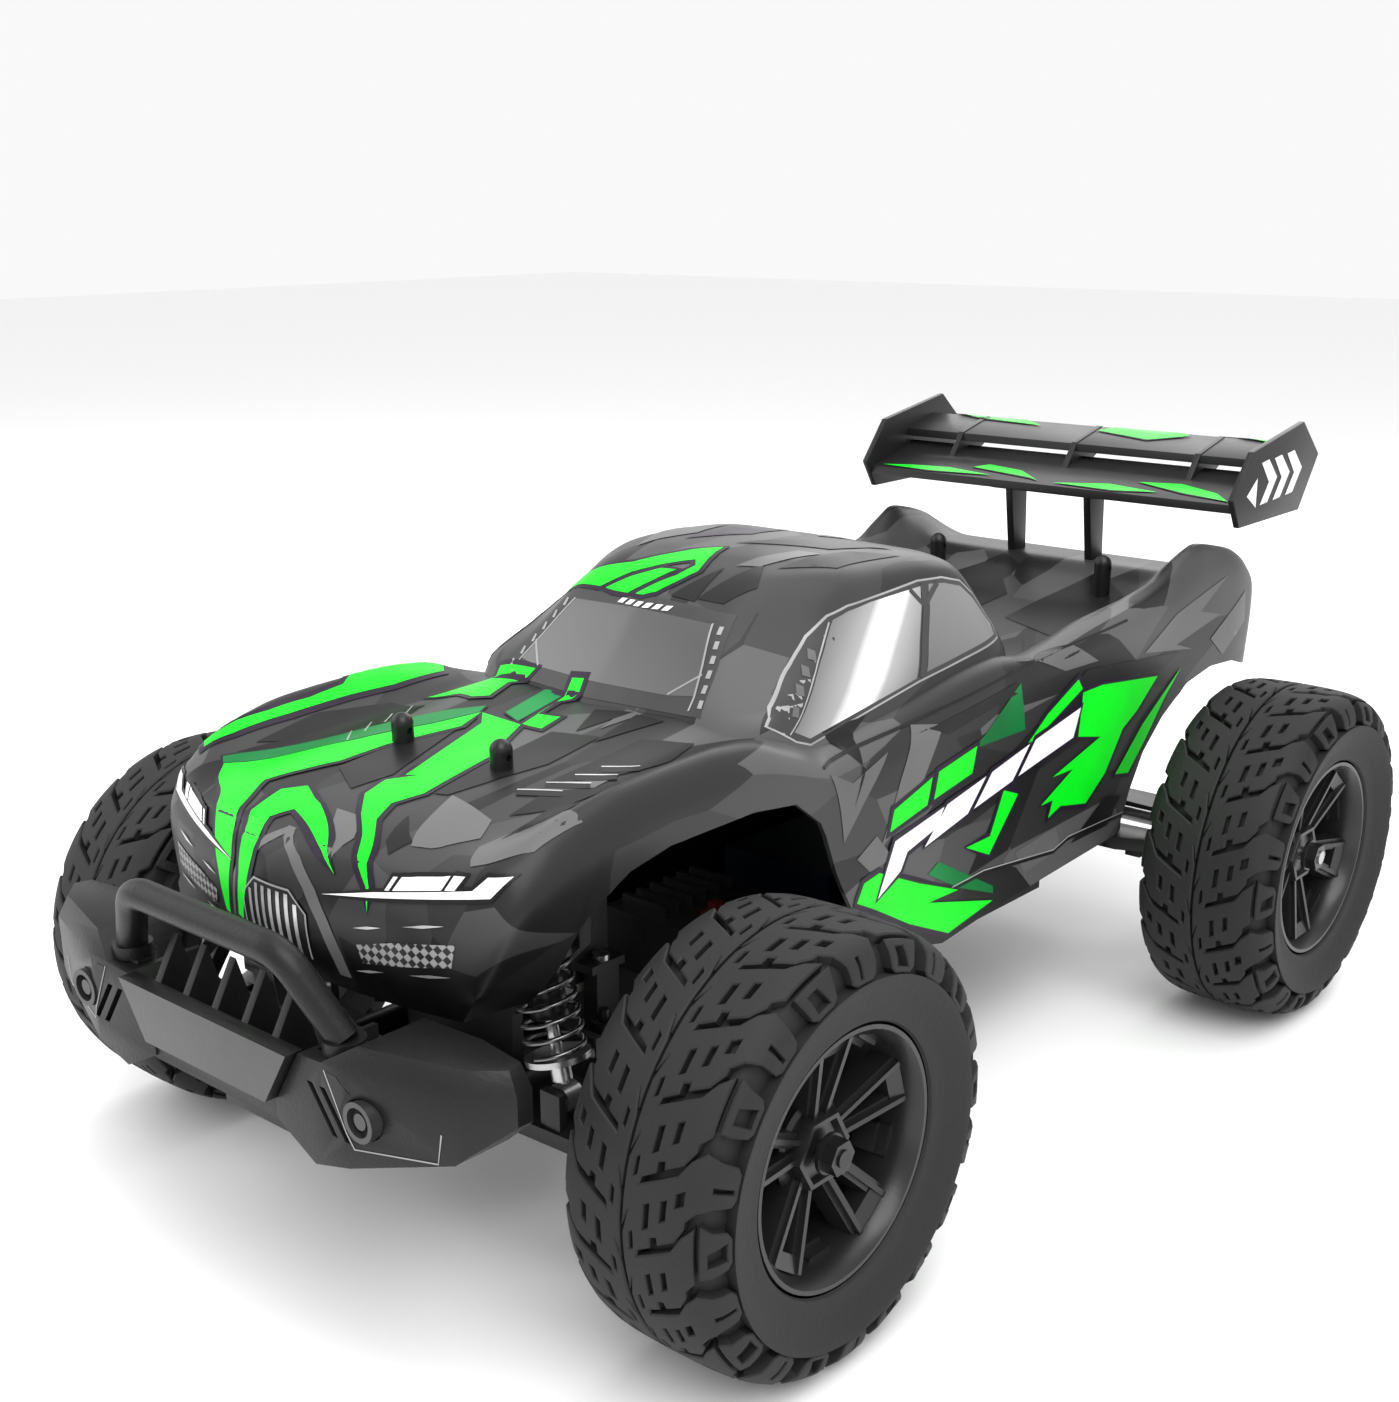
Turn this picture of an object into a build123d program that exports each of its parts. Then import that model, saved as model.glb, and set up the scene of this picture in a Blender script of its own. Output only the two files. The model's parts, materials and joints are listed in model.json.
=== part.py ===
from build123d import *

import os
from math import asin, atan2, cos, degrees, hypot, pi, radians, sin

# Radio-controlled monster truck, millimetres.
# +Z is up, the front points to -Y and the vehicle's left side is +X.
# The origin lies on the ground, midway along the length and the width.

# ---------------------------------------------------------------- wheels
WHEEL_R = 50.0
AXLE_Z = WHEEL_R
FRONT_Y = -115.5
REAR_Y = 123.8
TREAD_IN = 75.3
TREAD_OUT = 114.4
SIDEWALL_OUT = 116.2
CARCASS_R = 46.8
TYRE_WALL = 3.2
RIM_R = 31.2
RIM_LIP_R = 32.4
RIM_WALL = 2.2
RIM_IN = 76.4
RIM_OUT = 112.4
LUGS = 20
SPOKE_PAIRS = 5
HUB_FACE = 93.0
SPOKE_FACE = 107.0
STUB_R = 2.0
RUNNING = 0.05
NUT_FLATS = 7.0

# ---------------------------------------------------------------- chassis
FLOOR_BOTTOM = 34.0
FLOOR_TOP = 37.0
WALL_TOP = 58.0
WALL = 2.4
TUB_HALF = 40.0
FRONT_BAY_HALF = 19.0
REAR_BAY_HALF = 21.0
BATTERY = (-19.0, 19.0, 2.0, 72.0, 37.2, 56.0)
HATCH_HALF = 15.0
HATCH_Y = (12.0, 60.0)
PAD_HALF = 15.0
PAD_Y = (-50.0, -10.0)
PAD_DEPTH = 1.0

# ---------------------------------------------------------------- front suspension
ARM_F_X = 24.0
ARM_F_Z = 42.0
ARM_F_Y = (-137.0, -103.0)
PIN_R = 1.5
KINGPIN_X = 82.0
KINGPIN_R = 1.6
STEER_ARM = 20.0
STEER_MAX = 20.0
LINK_Z = (44.8, 47.6)
RACK_Z = (39.6, 43.6)
RACK_END_TOP = 41.8
RACK_Y = FRONT_Y + STEER_ARM
HORN_R = 14.0
SERVO_Y = RACK_Y + HORN_R
PEG_R = 1.3
EYE_SLACK = 0.6

# ---------------------------------------------------------------- rear suspension and drive
ARM_R_X = 26.0
ARM_R_Z = AXLE_Z
ARM_R_BOSSES = ((100.0, 112.0), (135.6, 147.6))
CUP_R = 6.5
CUP_BORE = 4.7
BALL_R = 4.2
SHAFT_R = 3.0
MODULE = 0.6
RING_TEETH = 48
PINION_TEETH = 12
GEAR_X = (-14.0, -10.0)
GEARBOX_X = (6.6, 18.6)
GEARBOX_BOTTOM = 32.6
MOTOR_DY = 10.8
MOTOR_DZ = 14.4
MOTOR_R = 12.2
MOTOR_X = (-5.0, 19.4)

# ---------------------------------------------------------------- shock absorbers
SHOCK_F_Y = -130.0
SHOCK_F_TOP = (36.0, 86.0)
SHOCK_F_FOOT = (45.0, 47.5)
SHOCK_R_Y = 104.0
SHOCK_R_TOP = (37.0, 93.0)
SHOCK_R_FOOT = (50.0, 56.0)
SHOCK_BODY_R = 4.4
SHOCK_COLLAR_R = 7.6
SHOCK_EYE_R = 3.4
SHOCK_EYE_HALF = 2.5
SHOCK_ROD_R = 1.5
SPRING_R = 6.6
SPRING_WIRE = 0.6
SPRING_TURNS = 5.5
SEAT_BACK = 9.5

# ---------------------------------------------------------------- bumper and bull bar
BUMPER_FRONT = -193.5
BULL_TUBE_R = 3.5
POD_BEVEL = 76.6
POD_TOP = 81.4
LAMP_X = 49.0
LAMP_Z = 67.0

# ---------------------------------------------------------------- body shell
SHELL_T = 1.6
NOSE_BOTTOM = 79.0
BED_HALF = 46.0
BED_FRONT = 42.0
BED_REAR = 146.0
FRONT_POST = (16.9, -119.8)
REAR_POST = (30.7, 126.6)
FRONT_POST_TOP = 123.2
REAR_POST_TOP = 130.8
POST_R = 2.65
POST_HOLE_R = 3.3

# One cross-section of the shell every so often along its length:
# y, foot x, waist x, shoulder x, crest x, crest z, deck x, deck z, centre z
SHELL_STATIONS = (
    (-173.0, 8.0, 51.0, 58.0, 56.0, 108.0, 40.0, 106.0, 108.0),
    (-160.0, 9.0, 52.5, 60.5, 57.0, 115.5, 42.0, 109.8, 112.4),
    (-150.0, 10.0, 53.5, 61.5, 57.5, 118.8, 43.0, 111.0, 113.6),
    (-140.0, 12.0, 54.5, 62.0, 57.5, 120.8, 43.5, 112.0, 114.4),
    (-120.0, 56.0, 62.0, 62.5, 57.0, 123.0, 43.5, 113.4, 115.8),
    (-92.0, 57.0, 62.0, 62.5, 56.8, 123.6, 43.5, 115.0, 117.8),
    (-66.0, 58.0, 62.0, 62.5, 57.0, 117.0, 43.5, 117.0, 119.8),
    (-50.0, 58.0, 62.0, 61.8, 58.0, 111.5, 45.0, 113.5, 118.0),
    (25.0, 56.5, 61.0, 61.2, 55.0, 121.6, 46.0, 120.0, 120.0),
    (42.0, 56.5, 61.0, 61.0, 57.8, 118.6, 48.5, 116.6, 112.0),
    (77.0, 56.5, 61.0, 61.0, 57.8, 123.0, 48.5, 121.4, 112.0),
    (118.0, 56.5, 61.0, 61.2, 55.8, 129.4, 48.5, 124.6, 120.0),
    (135.0, 56.5, 61.0, 61.6, 56.9, 138.0, 49.0, 128.4, 124.0),
    (157.0, 56.5, 61.0, 61.8, 59.0, 133.3, 49.0, 126.4, 124.5),
    (173.0, 56.0, 60.0, 60.6, 57.8, 122.0, 48.5, 121.0, 120.5),
    (177.0, 55.0, 58.5, 58.8, 56.4, 118.4, 48.0, 117.6, 117.4),
)
FOOT_Z = 20.0
WAIST_Z = 88.0
SHOULDER_Z = 103.0

# The cab's plan at four heights: z, then half its outline as x, y pairs from nose to tail.
CAB_LEVELS = (
    (112.0, ((0.0, -78.0), (34.5, -72.0), (53.0, -54.0), (52.0, 41.0), (0.0, 41.8))),
    (139.0, ((0.0, -56.0), (27.6, -53.0), (42.0, -29.0), (41.0, 35.5), (0.0, 37.0))),
    (146.0, ((0.0, -46.0), (25.0, -43.0), (38.0, -24.0), (37.0, 31.0), (0.0, 33.5))),
    (152.0, ((0.0, -34.0), (18.0, -30.0), (28.0, -16.0), (26.0, 6.0), (0.0, 10.0))),
)

# Lower edge of the shell's side in the side view, as y, z pairs from nose to tail.
SIDE_EDGE = (
    (-180.0, NOSE_BOTTOM), (-147.0, NOSE_BOTTOM), (-141.5, 92.0), (-137.0, 99.0),
    (-127.0, 105.0), (-101.0, 107.0),
    (-72.0, 106.0), (-59.0, 97.0), (-52.0, 80.0), (-41.0, 68.0), (-18.0, 52.0),
    (0.0, 47.0), (32.0, 50.0), (96.0, 53.0), (97.0, 64.0), (106.0, 78.0),
    (120.0, 88.0), (133.0, 95.0), (150.0, 96.0), (167.0, 94.0), (182.0, 91.0),
)

# Hexagonal wing end plate in the side view, as y, z pairs.
END_PLATE = (
    (144.8, 163.8), (179.7, 169.8), (193.5, 158.5),
    (182.3, 141.9), (139.7, 141.5), (133.9, 150.4),
)
END_PLATE_X = 67.3
END_PLATE_T = 2.0


# ---------------------------------------------------------------- helpers
def box(x0, x1, y0, y1, z0, z1):
    """Axis-aligned block between two corners."""
    centre = Pos((x0 + x1) / 2, (y0 + y1) / 2, (z0 + z1) / 2)
    return centre * Box(x1 - x0, y1 - y0, z1 - z0)


def sides(maker):
    """The same piece on both sides, as one shape."""
    piece = maker()
    return piece + mirror(piece, about=Plane.YZ)


def rod_x(x0, x1, y, z, r):
    """Round bar along X."""
    return Pos((x0 + x1) / 2, y, z) * Rot(0, 90, 0) * Cylinder(r, x1 - x0)


def rod_y(y0, y1, x, z, r):
    """Round bar along Y."""
    return Pos(x, (y0 + y1) / 2, z) * Rot(90, 0, 0) * Cylinder(r, y1 - y0)


def rod_z(z0, z1, x, y, r):
    """Round bar along Z."""
    return Pos(x, y, (z0 + z1) / 2) * Cylinder(r, z1 - z0)


def prism(points, direction):
    """Straight prism of a closed outline, pushed along a direction."""
    face = Face(Wire.make_polygon([Vector(*p) for p in points], close=True))
    return Part() + Solid.extrude(face, Vector(*direction))


def prism_x(outline, x0, x1):
    """Prism of a side-view outline given as y, z pairs."""
    return prism([(x0, y, z) for y, z in outline], (x1 - x0, 0, 0))


def prism_y(outline, y0, y1):
    """Prism of a front-view outline given as x, z pairs."""
    return prism([(x, y0, z) for x, z in outline], (0, y1 - y0, 0))


def prism_z(outline, z0, z1):
    """Prism of a plan outline given as x, y pairs."""
    return prism([(x, y, z0) for x, y in outline], (0, 0, z1 - z0))


def full_outline(half):
    """Close a half outline, given from axis to axis at x >= 0, with its mirror image."""
    other = [(-x, v) for x, v in reversed(half) if x > 0]
    return list(half) + other


def loft_levels(levels):
    """Ruled solid through closed outlines of equal point count."""
    wires = [Wire.make_polygon([Vector(*p) for p in level], close=True) for level in levels]
    return Part() + Solid.make_loft(wires, ruled=True)


def turned(profile, y, z):
    """Ring swept round an X-direction axis through y, z by a profile of x, r pairs."""
    face = Face(Wire.make_polygon([Vector(x, 0, r) for x, r in profile], close=True))
    ring = Part() + Solid.revolve(face, 360, Axis.X)
    return Pos(0, y, z) * ring


def capsule_z(x0, y0, x1, y1, r, z0, z1):
    """Flat bar with round ends between two points of the plan."""
    length = hypot(x1 - x0, y1 - y0)
    bar = Box(length, 2 * r, z1 - z0)
    bar += Pos(-length / 2, 0, 0) * Cylinder(r, z1 - z0)
    bar += Pos(length / 2, 0, 0) * Cylinder(r, z1 - z0)
    turn = degrees(atan2(y1 - y0, x1 - x0))
    return Pos((x0 + x1) / 2, (y0 + y1) / 2, (z0 + z1) / 2) * Rot(0, 0, turn) * bar


# ---------------------------------------------------------------- wheels
def lug(x0, x1, start, sweep):
    """Tread block: a stretch of the ring between the carcass and the tread's full radius."""
    face = Face(Wire.make_polygon([
        Vector(x0, 0, CARCASS_R - 1), Vector(x1, 0, CARCASS_R - 1),
        Vector(x1, 0, WHEEL_R), Vector(x0, 0, WHEEL_R),
    ], close=True))
    return Rot(start, 0, 0) * (Part() + Solid.revolve(face, sweep, Axis.X))


def tyre():
    """Hollow carcass with staggered tread blocks, on the left at the front axle height."""
    outside = [
        (TREAD_IN + 3.0, RIM_R), (TREAD_IN, 38.0), (TREAD_IN, 43.0), (TREAD_IN + 1.4, CARCASS_R),
        (TREAD_OUT - 1.2, CARCASS_R), (TREAD_OUT, 44.0), (SIDEWALL_OUT, 41.2),
        (SIDEWALL_OUT, 37.0), (RIM_OUT, RIM_LIP_R + 0.1), (RIM_OUT - 1.3, RIM_LIP_R + 0.1),
        (RIM_OUT - 1.3, RIM_R),
    ]
    inside = [
        (RIM_OUT - 1.3 - TYRE_WALL, RIM_R), (TREAD_OUT - TYRE_WALL, CARCASS_R - TYRE_WALL),
        (TREAD_IN + TYRE_WALL, CARCASS_R - TYRE_WALL), (TREAD_IN + 3.0 + TYRE_WALL, RIM_R),
    ]
    carcass = turned(outside + inside, 0, 0)
    step = 360.0 / LUGS
    middle = (TREAD_IN + TREAD_OUT) / 2
    bands = (
        (TREAD_IN, TREAD_IN + 9.0, 0.0),
        (TREAD_IN + 8.0, middle - 1.0, 0.35),
        (middle + 1.0, TREAD_OUT - 8.0, 0.85),
        (TREAD_OUT - 9.0, TREAD_OUT, 0.5),
    )
    for index in range(LUGS):
        for x0, x1, shift in bands:
            carcass += lug(x0, x1, (index + shift) * step, step * 0.55)
    return carcass


def rim():
    """Barrel with two lips, a hub with a drive face and five pairs of spokes."""
    barrel = turned([
        (RIM_IN, RIM_R), (RIM_OUT - 1.2, RIM_R), (RIM_OUT - 1.2, RIM_LIP_R), (RIM_OUT, RIM_LIP_R),
        (RIM_OUT, RIM_R - RIM_WALL), (RIM_IN, RIM_R - RIM_WALL),
    ], 0, 0)
    hub = rod_x(HUB_FACE, SPOKE_FACE, 0, 0, 9.0)
    spoke_thick = 4.5
    spoke_wide = 4.0
    reach = RIM_R - RIM_WALL + 0.8
    for pair in range(SPOKE_PAIRS):
        for lean in (-10.0, 10.0):
            turn = 360.0 / SPOKE_PAIRS * pair + lean
            spoke = box(SPOKE_FACE - spoke_thick, SPOKE_FACE, -spoke_wide / 2, spoke_wide / 2, 5, reach)
            hub += Rot(turn, 0, 0) * spoke
    body = barrel + hub
    return body - rod_x(HUB_FACE - 1, SPOKE_FACE + 1, 0, 0, STUB_R + RUNNING)


def wheel_nut():
    """Flanged hexagon nut on the axle's threaded end."""
    radius = NUT_FLATS / 2 / cos(pi / 6)
    corners = [(radius * cos(k * pi / 3), radius * sin(k * pi / 3)) for k in range(6)]
    nut = prism_x(corners, SPOKE_FACE + 0.3, SPOKE_FACE + 4.3)
    nut += rod_x(SPOKE_FACE + 0.3, SPOKE_FACE + 1.2, 0, 0, 4.6)
    return nut - rod_x(SPOKE_FACE, SPOKE_FACE + 5, 0, 0, STUB_R)


# ---------------------------------------------------------------- front suspension and steering
def front_arm():
    """Lower arm with its upright moulded on, and the lugs of the shock's foot."""
    y0, y1 = ARM_F_Y
    outline = [
        (ARM_F_X, y0), (ARM_F_X, y1), (50.0, FRONT_Y + 12.5), (74.0, FRONT_Y + 7.0),
        (88.0, FRONT_Y + 6.0), (88.0, FRONT_Y - 6.0), (74.0, FRONT_Y - 7.0), (52.0, y0 + 1.0),
    ]
    arm = prism_z(outline, 37.5, 41.2)
    arm += rod_y(y0, y1, ARM_F_X, ARM_F_Z, 4.0)
    arm += box(70.0, 74.0, FRONT_Y - 6, FRONT_Y + 6, 37.5, 63.0)
    arm += box(70.0, 88.0, FRONT_Y - 6, FRONT_Y + 6, 59.0, 63.0)
    window = [(33.0, -124.0), (33.0, -108.0), (46.0, -109.0), (62.0, -113.0), (62.0, -118.0), (46.0, -122.0)]
    arm -= prism_z(window, 37.0, 41.5)
    arm -= rod_z(37.0, 41.3, KINGPIN_X, FRONT_Y, KINGPIN_R + RUNNING)
    arm -= rod_z(58.9, 63.1, KINGPIN_X, FRONT_Y, KINGPIN_R + RUNNING)
    arm += shock_foot(SHOCK_F_FOOT, SHOCK_F_Y, 38.0)
    return arm - rod_y(y0 - 1, y1 + 1, ARM_F_X, ARM_F_Z, PIN_R + RUNNING)


def shock_foot(foot, y, base_z):
    """Two lugs and the cross pin that carry a shock's lower eye."""
    x, z = foot
    gap = SHOCK_EYE_HALF + 0.4
    lugs = box(x - 3, x + 3, y - gap - 2.2, y - gap, base_z, z + 2.5)
    lugs += box(x - 3, x + 3, y + gap, y + gap + 2.2, base_z, z + 2.5)
    return lugs + rod_y(y - gap - 1, y + gap + 1, x, z, PIN_R)


def knuckle():
    """Steering knuckle with trunnions, stub axle, steering arm and its peg."""
    block = box(KINGPIN_X - 3.6, KINGPIN_X + 3.6, FRONT_Y - 5.5, FRONT_Y + 5.5, 41.5, 58.7)
    block += rod_z(37.4, 62.8, KINGPIN_X, FRONT_Y, KINGPIN_R)
    block += rod_x(KINGPIN_X, HUB_FACE - 0.4, FRONT_Y, AXLE_Z, 4.6)
    block += rod_x(KINGPIN_X, SPOKE_FACE + 4.8, FRONT_Y, AXLE_Z, STUB_R)
    block += capsule_z(KINGPIN_X, FRONT_Y, KINGPIN_X, RACK_Y, 3.0, 41.5, 44.2)
    return block + rod_z(44.0, 49.0, KINGPIN_X, RACK_Y, PEG_R)


def steering_link():
    """Flat link from the rack's peg to the knuckle's peg, with an eye and a slotted eye."""
    z0, z1 = LINK_Z
    slot_half = STEER_ARM * (1 - cos(radians(STEER_MAX))) / 2 + 0.3
    link = capsule_z(ARM_F_X, RACK_Y, KINGPIN_X, RACK_Y, 1.7, z0, z1)
    link += capsule_z(ARM_F_X - 0.8, RACK_Y, ARM_F_X + 0.8, RACK_Y, 3.4, z0, z1)
    middle = RACK_Y - slot_half
    link += capsule_z(KINGPIN_X, RACK_Y + 0.3, KINGPIN_X, middle - slot_half, 3.3, z0, z1)
    link -= capsule_z(ARM_F_X - 0.8, RACK_Y, ARM_F_X + 0.8, RACK_Y, PEG_R + EYE_SLACK, z0 - 1, z1 + 1)
    slot_r = PEG_R + EYE_SLACK
    slot = capsule_z(KINGPIN_X, RACK_Y + 0.3, KINGPIN_X, middle - slot_half, slot_r, z0 - 1, z1 + 1)
    return link - slot


def steering_rack():
    """Sliding bar with a peg for each link and a slot for the servo horn's peg."""
    z0, z1 = RACK_Z
    rack = box(-27.0, 27.0, RACK_Y - 2.6, RACK_Y + 2.6, z0, RACK_END_TOP)
    rack += box(-5.0, 5.0, RACK_Y - 4.2, RACK_Y + 5.8, z0, z1)
    for x in (-ARM_F_X, ARM_F_X):
        rack += rod_z(RACK_END_TOP - 0.5, 50.5, x, RACK_Y, PEG_R)
    lift = HORN_R * (1 - cos(asin(STEER_ARM * sin(radians(STEER_MAX)) / HORN_R)))
    slot = capsule_z(0, RACK_Y - 0.3, 0, RACK_Y + lift + 0.4, PEG_R + EYE_SLACK, z0 - 1, z1 + 1)
    return rack - slot


def servo_horn():
    """Arm on the servo's output with a peg that drives the rack."""
    z0, z1 = LINK_Z
    horn = capsule_z(0, SERVO_Y, 0, RACK_Y, 2.6, z0, z1)
    horn += rod_z(z0, z1, 0, SERVO_Y, 4.2)
    horn += rod_z(RACK_Z[0], z0 + 0.5, 0, RACK_Y, PEG_R)
    return horn - rod_z(z0 - 1, z1 + 1, 0, SERVO_Y, 2.05)


def steering_servo():
    """Servo hung upside down from two posts, its output shaft pointing down."""
    body = box(-17.5, 6.5, SERVO_Y - 6, SERVO_Y + 6, 49.0, 71.0)
    body += box(-23.5, 12.5, SERVO_Y - 6, SERVO_Y + 6, 53.0, 55.2)
    body += rod_z(48.2, 49.5, 0, SERVO_Y, 5.0)
    return body + rod_z(LINK_Z[0], 49.5, 0, SERVO_Y, 2.0)


# ---------------------------------------------------------------- rear suspension and drive
def rear_arm():
    """Forked arm with the bearing carrier moulded on."""
    arm = Part()
    for y0, y1 in ARM_R_BOSSES:
        arm += rod_y(y0, y1, ARM_R_X, ARM_R_Z, 4.0)
    for side, (y0, y1) in ((-1, ARM_R_BOSSES[0]), (1, ARM_R_BOSSES[1])):
        inner = REAR_Y + side * 9.0
        outer = y0 if side < 0 else y1
        beam = [
            (ARM_R_X, outer), (ARM_R_X, y1 if side < 0 else y0), (72.0, inner),
            (84.0, inner), (84.0, REAR_Y + side * 12.0), (56.0, outer),
        ]
        arm += prism_z(beam, 46.0, 50.0)
    arm += box(74.0, 84.0, REAR_Y - 12, REAR_Y + 12, 40.0, 60.0)
    arm += box(56.0, 61.0, REAR_Y - 16, REAR_Y + 16, 42.2, 46.5)
    arm -= rod_x(73.0, 85.0, REAR_Y, ARM_R_Z, SHAFT_R + RUNNING)
    for y0, y1 in ARM_R_BOSSES:
        arm -= rod_y(y0 - 1, y1 + 1, ARM_R_X, ARM_R_Z, PIN_R + RUNNING)
    return arm + shock_foot(SHOCK_R_FOOT, SHOCK_R_Y, 46.5)


def half_shaft():
    """Drive shaft: ball and cross pin at the cup, bearing journal, drive disc, threaded stub."""
    shaft = Pos(ARM_R_X, REAR_Y, AXLE_Z) * Sphere(BALL_R)
    shaft += rod_z(AXLE_Z - 5.8, AXLE_Z + 5.8, ARM_R_X, REAR_Y, 1.1)
    shaft += rod_x(ARM_R_X, 74.0, REAR_Y, AXLE_Z, 2.2)
    shaft += rod_x(71.0, 88.0, REAR_Y, AXLE_Z, SHAFT_R)
    shaft += rod_x(88.0, HUB_FACE, REAR_Y, AXLE_Z, 6.9)
    return shaft + rod_x(88.0, SPOKE_FACE + 4.8, REAR_Y, AXLE_Z, STUB_R)


def outdrive(inner_end):
    """Differential output: shaft and slotted cup on the left side."""
    cup = rod_x(20.0, 32.0, REAR_Y, AXLE_Z, CUP_R)
    cup -= rod_x(21.5, 33.0, REAR_Y, AXLE_Z, CUP_BORE)
    cup -= box(22.5, 33.0, REAR_Y - 1.5, REAR_Y + 1.5, AXLE_Z - 8, AXLE_Z + 8)
    return cup + rod_x(inner_end, 20.5, REAR_Y, AXLE_Z, SHAFT_R)


def gear(teeth, x0, x1, phase):
    """Straight-toothed gear about the X axis, with slightly thin teeth for backlash."""
    pitch_r = MODULE * teeth / 2
    tip = pitch_r + 0.75 * MODULE
    root = pitch_r - 1.0 * MODULE
    step = 2 * pi / teeth
    outline = []
    for index in range(teeth):
        middle = index * step + phase
        for share, radius in ((-0.33, root), (-0.11, tip), (0.11, tip), (0.33, root)):
            angle = middle + share * step
            outline.append((radius * cos(angle), radius * sin(angle)))
    return prism_x(outline, x0, x1)


def mesh_angle():
    """Direction from the ring gear's axis to the pinion's, in the side view."""
    return atan2(MOTOR_DZ, MOTOR_DY)


def final_gear():
    """Differential case with its ring gear."""
    phase = mesh_angle()
    wheel = gear(RING_TEETH, GEAR_X[0], GEAR_X[1], phase)
    wheel += rod_x(-16.5, -8.8, 0, 0, 8.0)
    wheel -= rod_x(-17.0, -8.0, 0, 0, SHAFT_R + RUNNING)
    return Pos(0, REAR_Y, AXLE_Z) * wheel


def motor_pinion():
    """Pinion on the motor shaft, its gap facing a ring-gear tooth."""
    phase = mesh_angle() + pi + pi / PINION_TEETH
    pinion = gear(PINION_TEETH, GEAR_X[0], GEAR_X[1] + 2.0, phase)
    pinion -= rod_x(-15.0, -7.0, 0, 0, 1.0 + RUNNING)
    return Pos(0, REAR_Y + MOTOR_DY, AXLE_Z + MOTOR_DZ) * pinion


def drive_motor():
    """Round can motor across the truck, with its shaft and two brush tabs."""
    y, z = REAR_Y + MOTOR_DY, AXLE_Z + MOTOR_DZ
    motor = rod_x(MOTOR_X[0], MOTOR_X[1], y, z, MOTOR_R)
    motor += rod_x(MOTOR_X[0] - 1.5, MOTOR_X[0], y, z, 4.0)
    motor += rod_x(-14.0, MOTOR_X[0], y, z, 1.0)
    return motor + box(MOTOR_X[1] - 0.5, MOTOR_X[1] + 3, y + 5, y + 8, z - 1.5, z + 1.5)


def gearbox_case():
    """Case round the gears with the motor plate and the left output's bearing tube."""
    outside = [
        (106.5, GEARBOX_BOTTOM), (141.0, GEARBOX_BOTTOM), (141.0, 70.5), (136.0, 72.0),
        (126.0, 72.0), (106.5, 62.0),
    ]
    inside = [
        (107.8, GEARBOX_BOTTOM + 1.3), (139.8, GEARBOX_BOTTOM + 1.3), (139.8, 69.6),
        (135.6, 70.8), (126.6, 70.8), (107.8, 61.2),
    ]
    case = prism_x(outside, -GEARBOX_X[1], -GEARBOX_X[0])
    case += rod_x(-7.0, 19.4, REAR_Y, AXLE_Z, 5.0)
    case -= prism_x(inside, -GEARBOX_X[1] + 1.4, -GEARBOX_X[0] - 1.4)
    case -= rod_x(-20.0, 20.0, REAR_Y, AXLE_Z, SHAFT_R + RUNNING)
    case -= rod_x(-9.0, -6.0, REAR_Y + MOTOR_DY, AXLE_Z + MOTOR_DZ, 4.3)
    return case + box(-GEARBOX_X[0], 16.0, REAR_Y - 8, REAR_Y + 8, FLOOR_TOP, AXLE_Z - 4.6)


# ---------------------------------------------------------------- shock absorbers
def shock_frame(top, foot, y):
    """Location whose Z axis runs from the top eye to the foot, Y kept along the truck."""
    direction = Vector(foot[0] - top[0], 0, foot[1] - top[1]).normalized()
    return Plane(origin=(top[0], y, top[1]), x_dir=Vector(0, 1, 0), z_dir=direction)


def shock_length(top, foot):
    """Distance between the two eyes at rest."""
    return hypot(foot[0] - top[0], foot[1] - top[1])


def across(z, r, half):
    """Disc whose axis is the shock frame's local X, used for the eyes."""
    return Pos(0, 0, z) * Rot(0, 90, 0) * Cylinder(r, 2 * half)


def shock_body(top, foot, y):
    """Damper tube with its top eye, spring collar and threaded sleeve."""
    low = shock_length(top, foot) - 19.0
    tube = across(0, SHOCK_EYE_R, SHOCK_EYE_HALF)
    tube += Pos(0, 0, (1.5 + low) / 2) * Cylinder(SHOCK_BODY_R, low - 1.5)
    tube += Pos(0, 0, 6.5) * Cylinder(SHOCK_COLLAR_R, 1.6)
    tube -= across(0, PIN_R + RUNNING, SHOCK_EYE_HALF + 1)
    tube -= across(0, SHOCK_EYE_R + 0.2, 10) - across(0, SHOCK_EYE_R + 0.2, SHOCK_EYE_HALF)
    tube -= Pos(0, 0, low / 2 + 3) * Cylinder(SHOCK_ROD_R + RUNNING, low - 3)
    return shock_frame(top, foot, y) * tube


def shock_rod(top, foot, y):
    """Damper rod with its spring seat and lower eye."""
    length = shock_length(top, foot)
    rod = Pos(0, 0, (length - 27.0 + length) / 2) * Cylinder(SHOCK_ROD_R, 27.0)
    rod += across(length, SHOCK_EYE_R, SHOCK_EYE_HALF)
    rod += Pos(0, 0, length - SEAT_BACK) * Cylinder(SHOCK_COLLAR_R, 1.4)
    rod += Pos(0, 0, length - SEAT_BACK + 2.5) * Cylinder(2.4, 6.0)
    rod -= across(length, PIN_R + EYE_SLACK, SHOCK_EYE_HALF + 1)
    return shock_frame(top, foot, y) * rod


def shock_spring(top, foot, y):
    """Coil spring between the collar and the seat."""
    start = 6.5 + 0.8 + SPRING_WIRE
    end = shock_length(top, foot) - SEAT_BACK - 0.7 - SPRING_WIRE
    height = end - start
    path = Helix(pitch=height / SPRING_TURNS, height=height, radius=SPRING_R)
    section = Plane(origin=path @ 0, z_dir=path % 0) * Circle(SPRING_WIRE)
    coil = sweep(section, path=path, is_frenet=True)
    return shock_frame(top, foot, y) * Pos(0, 0, start) * coil


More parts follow.
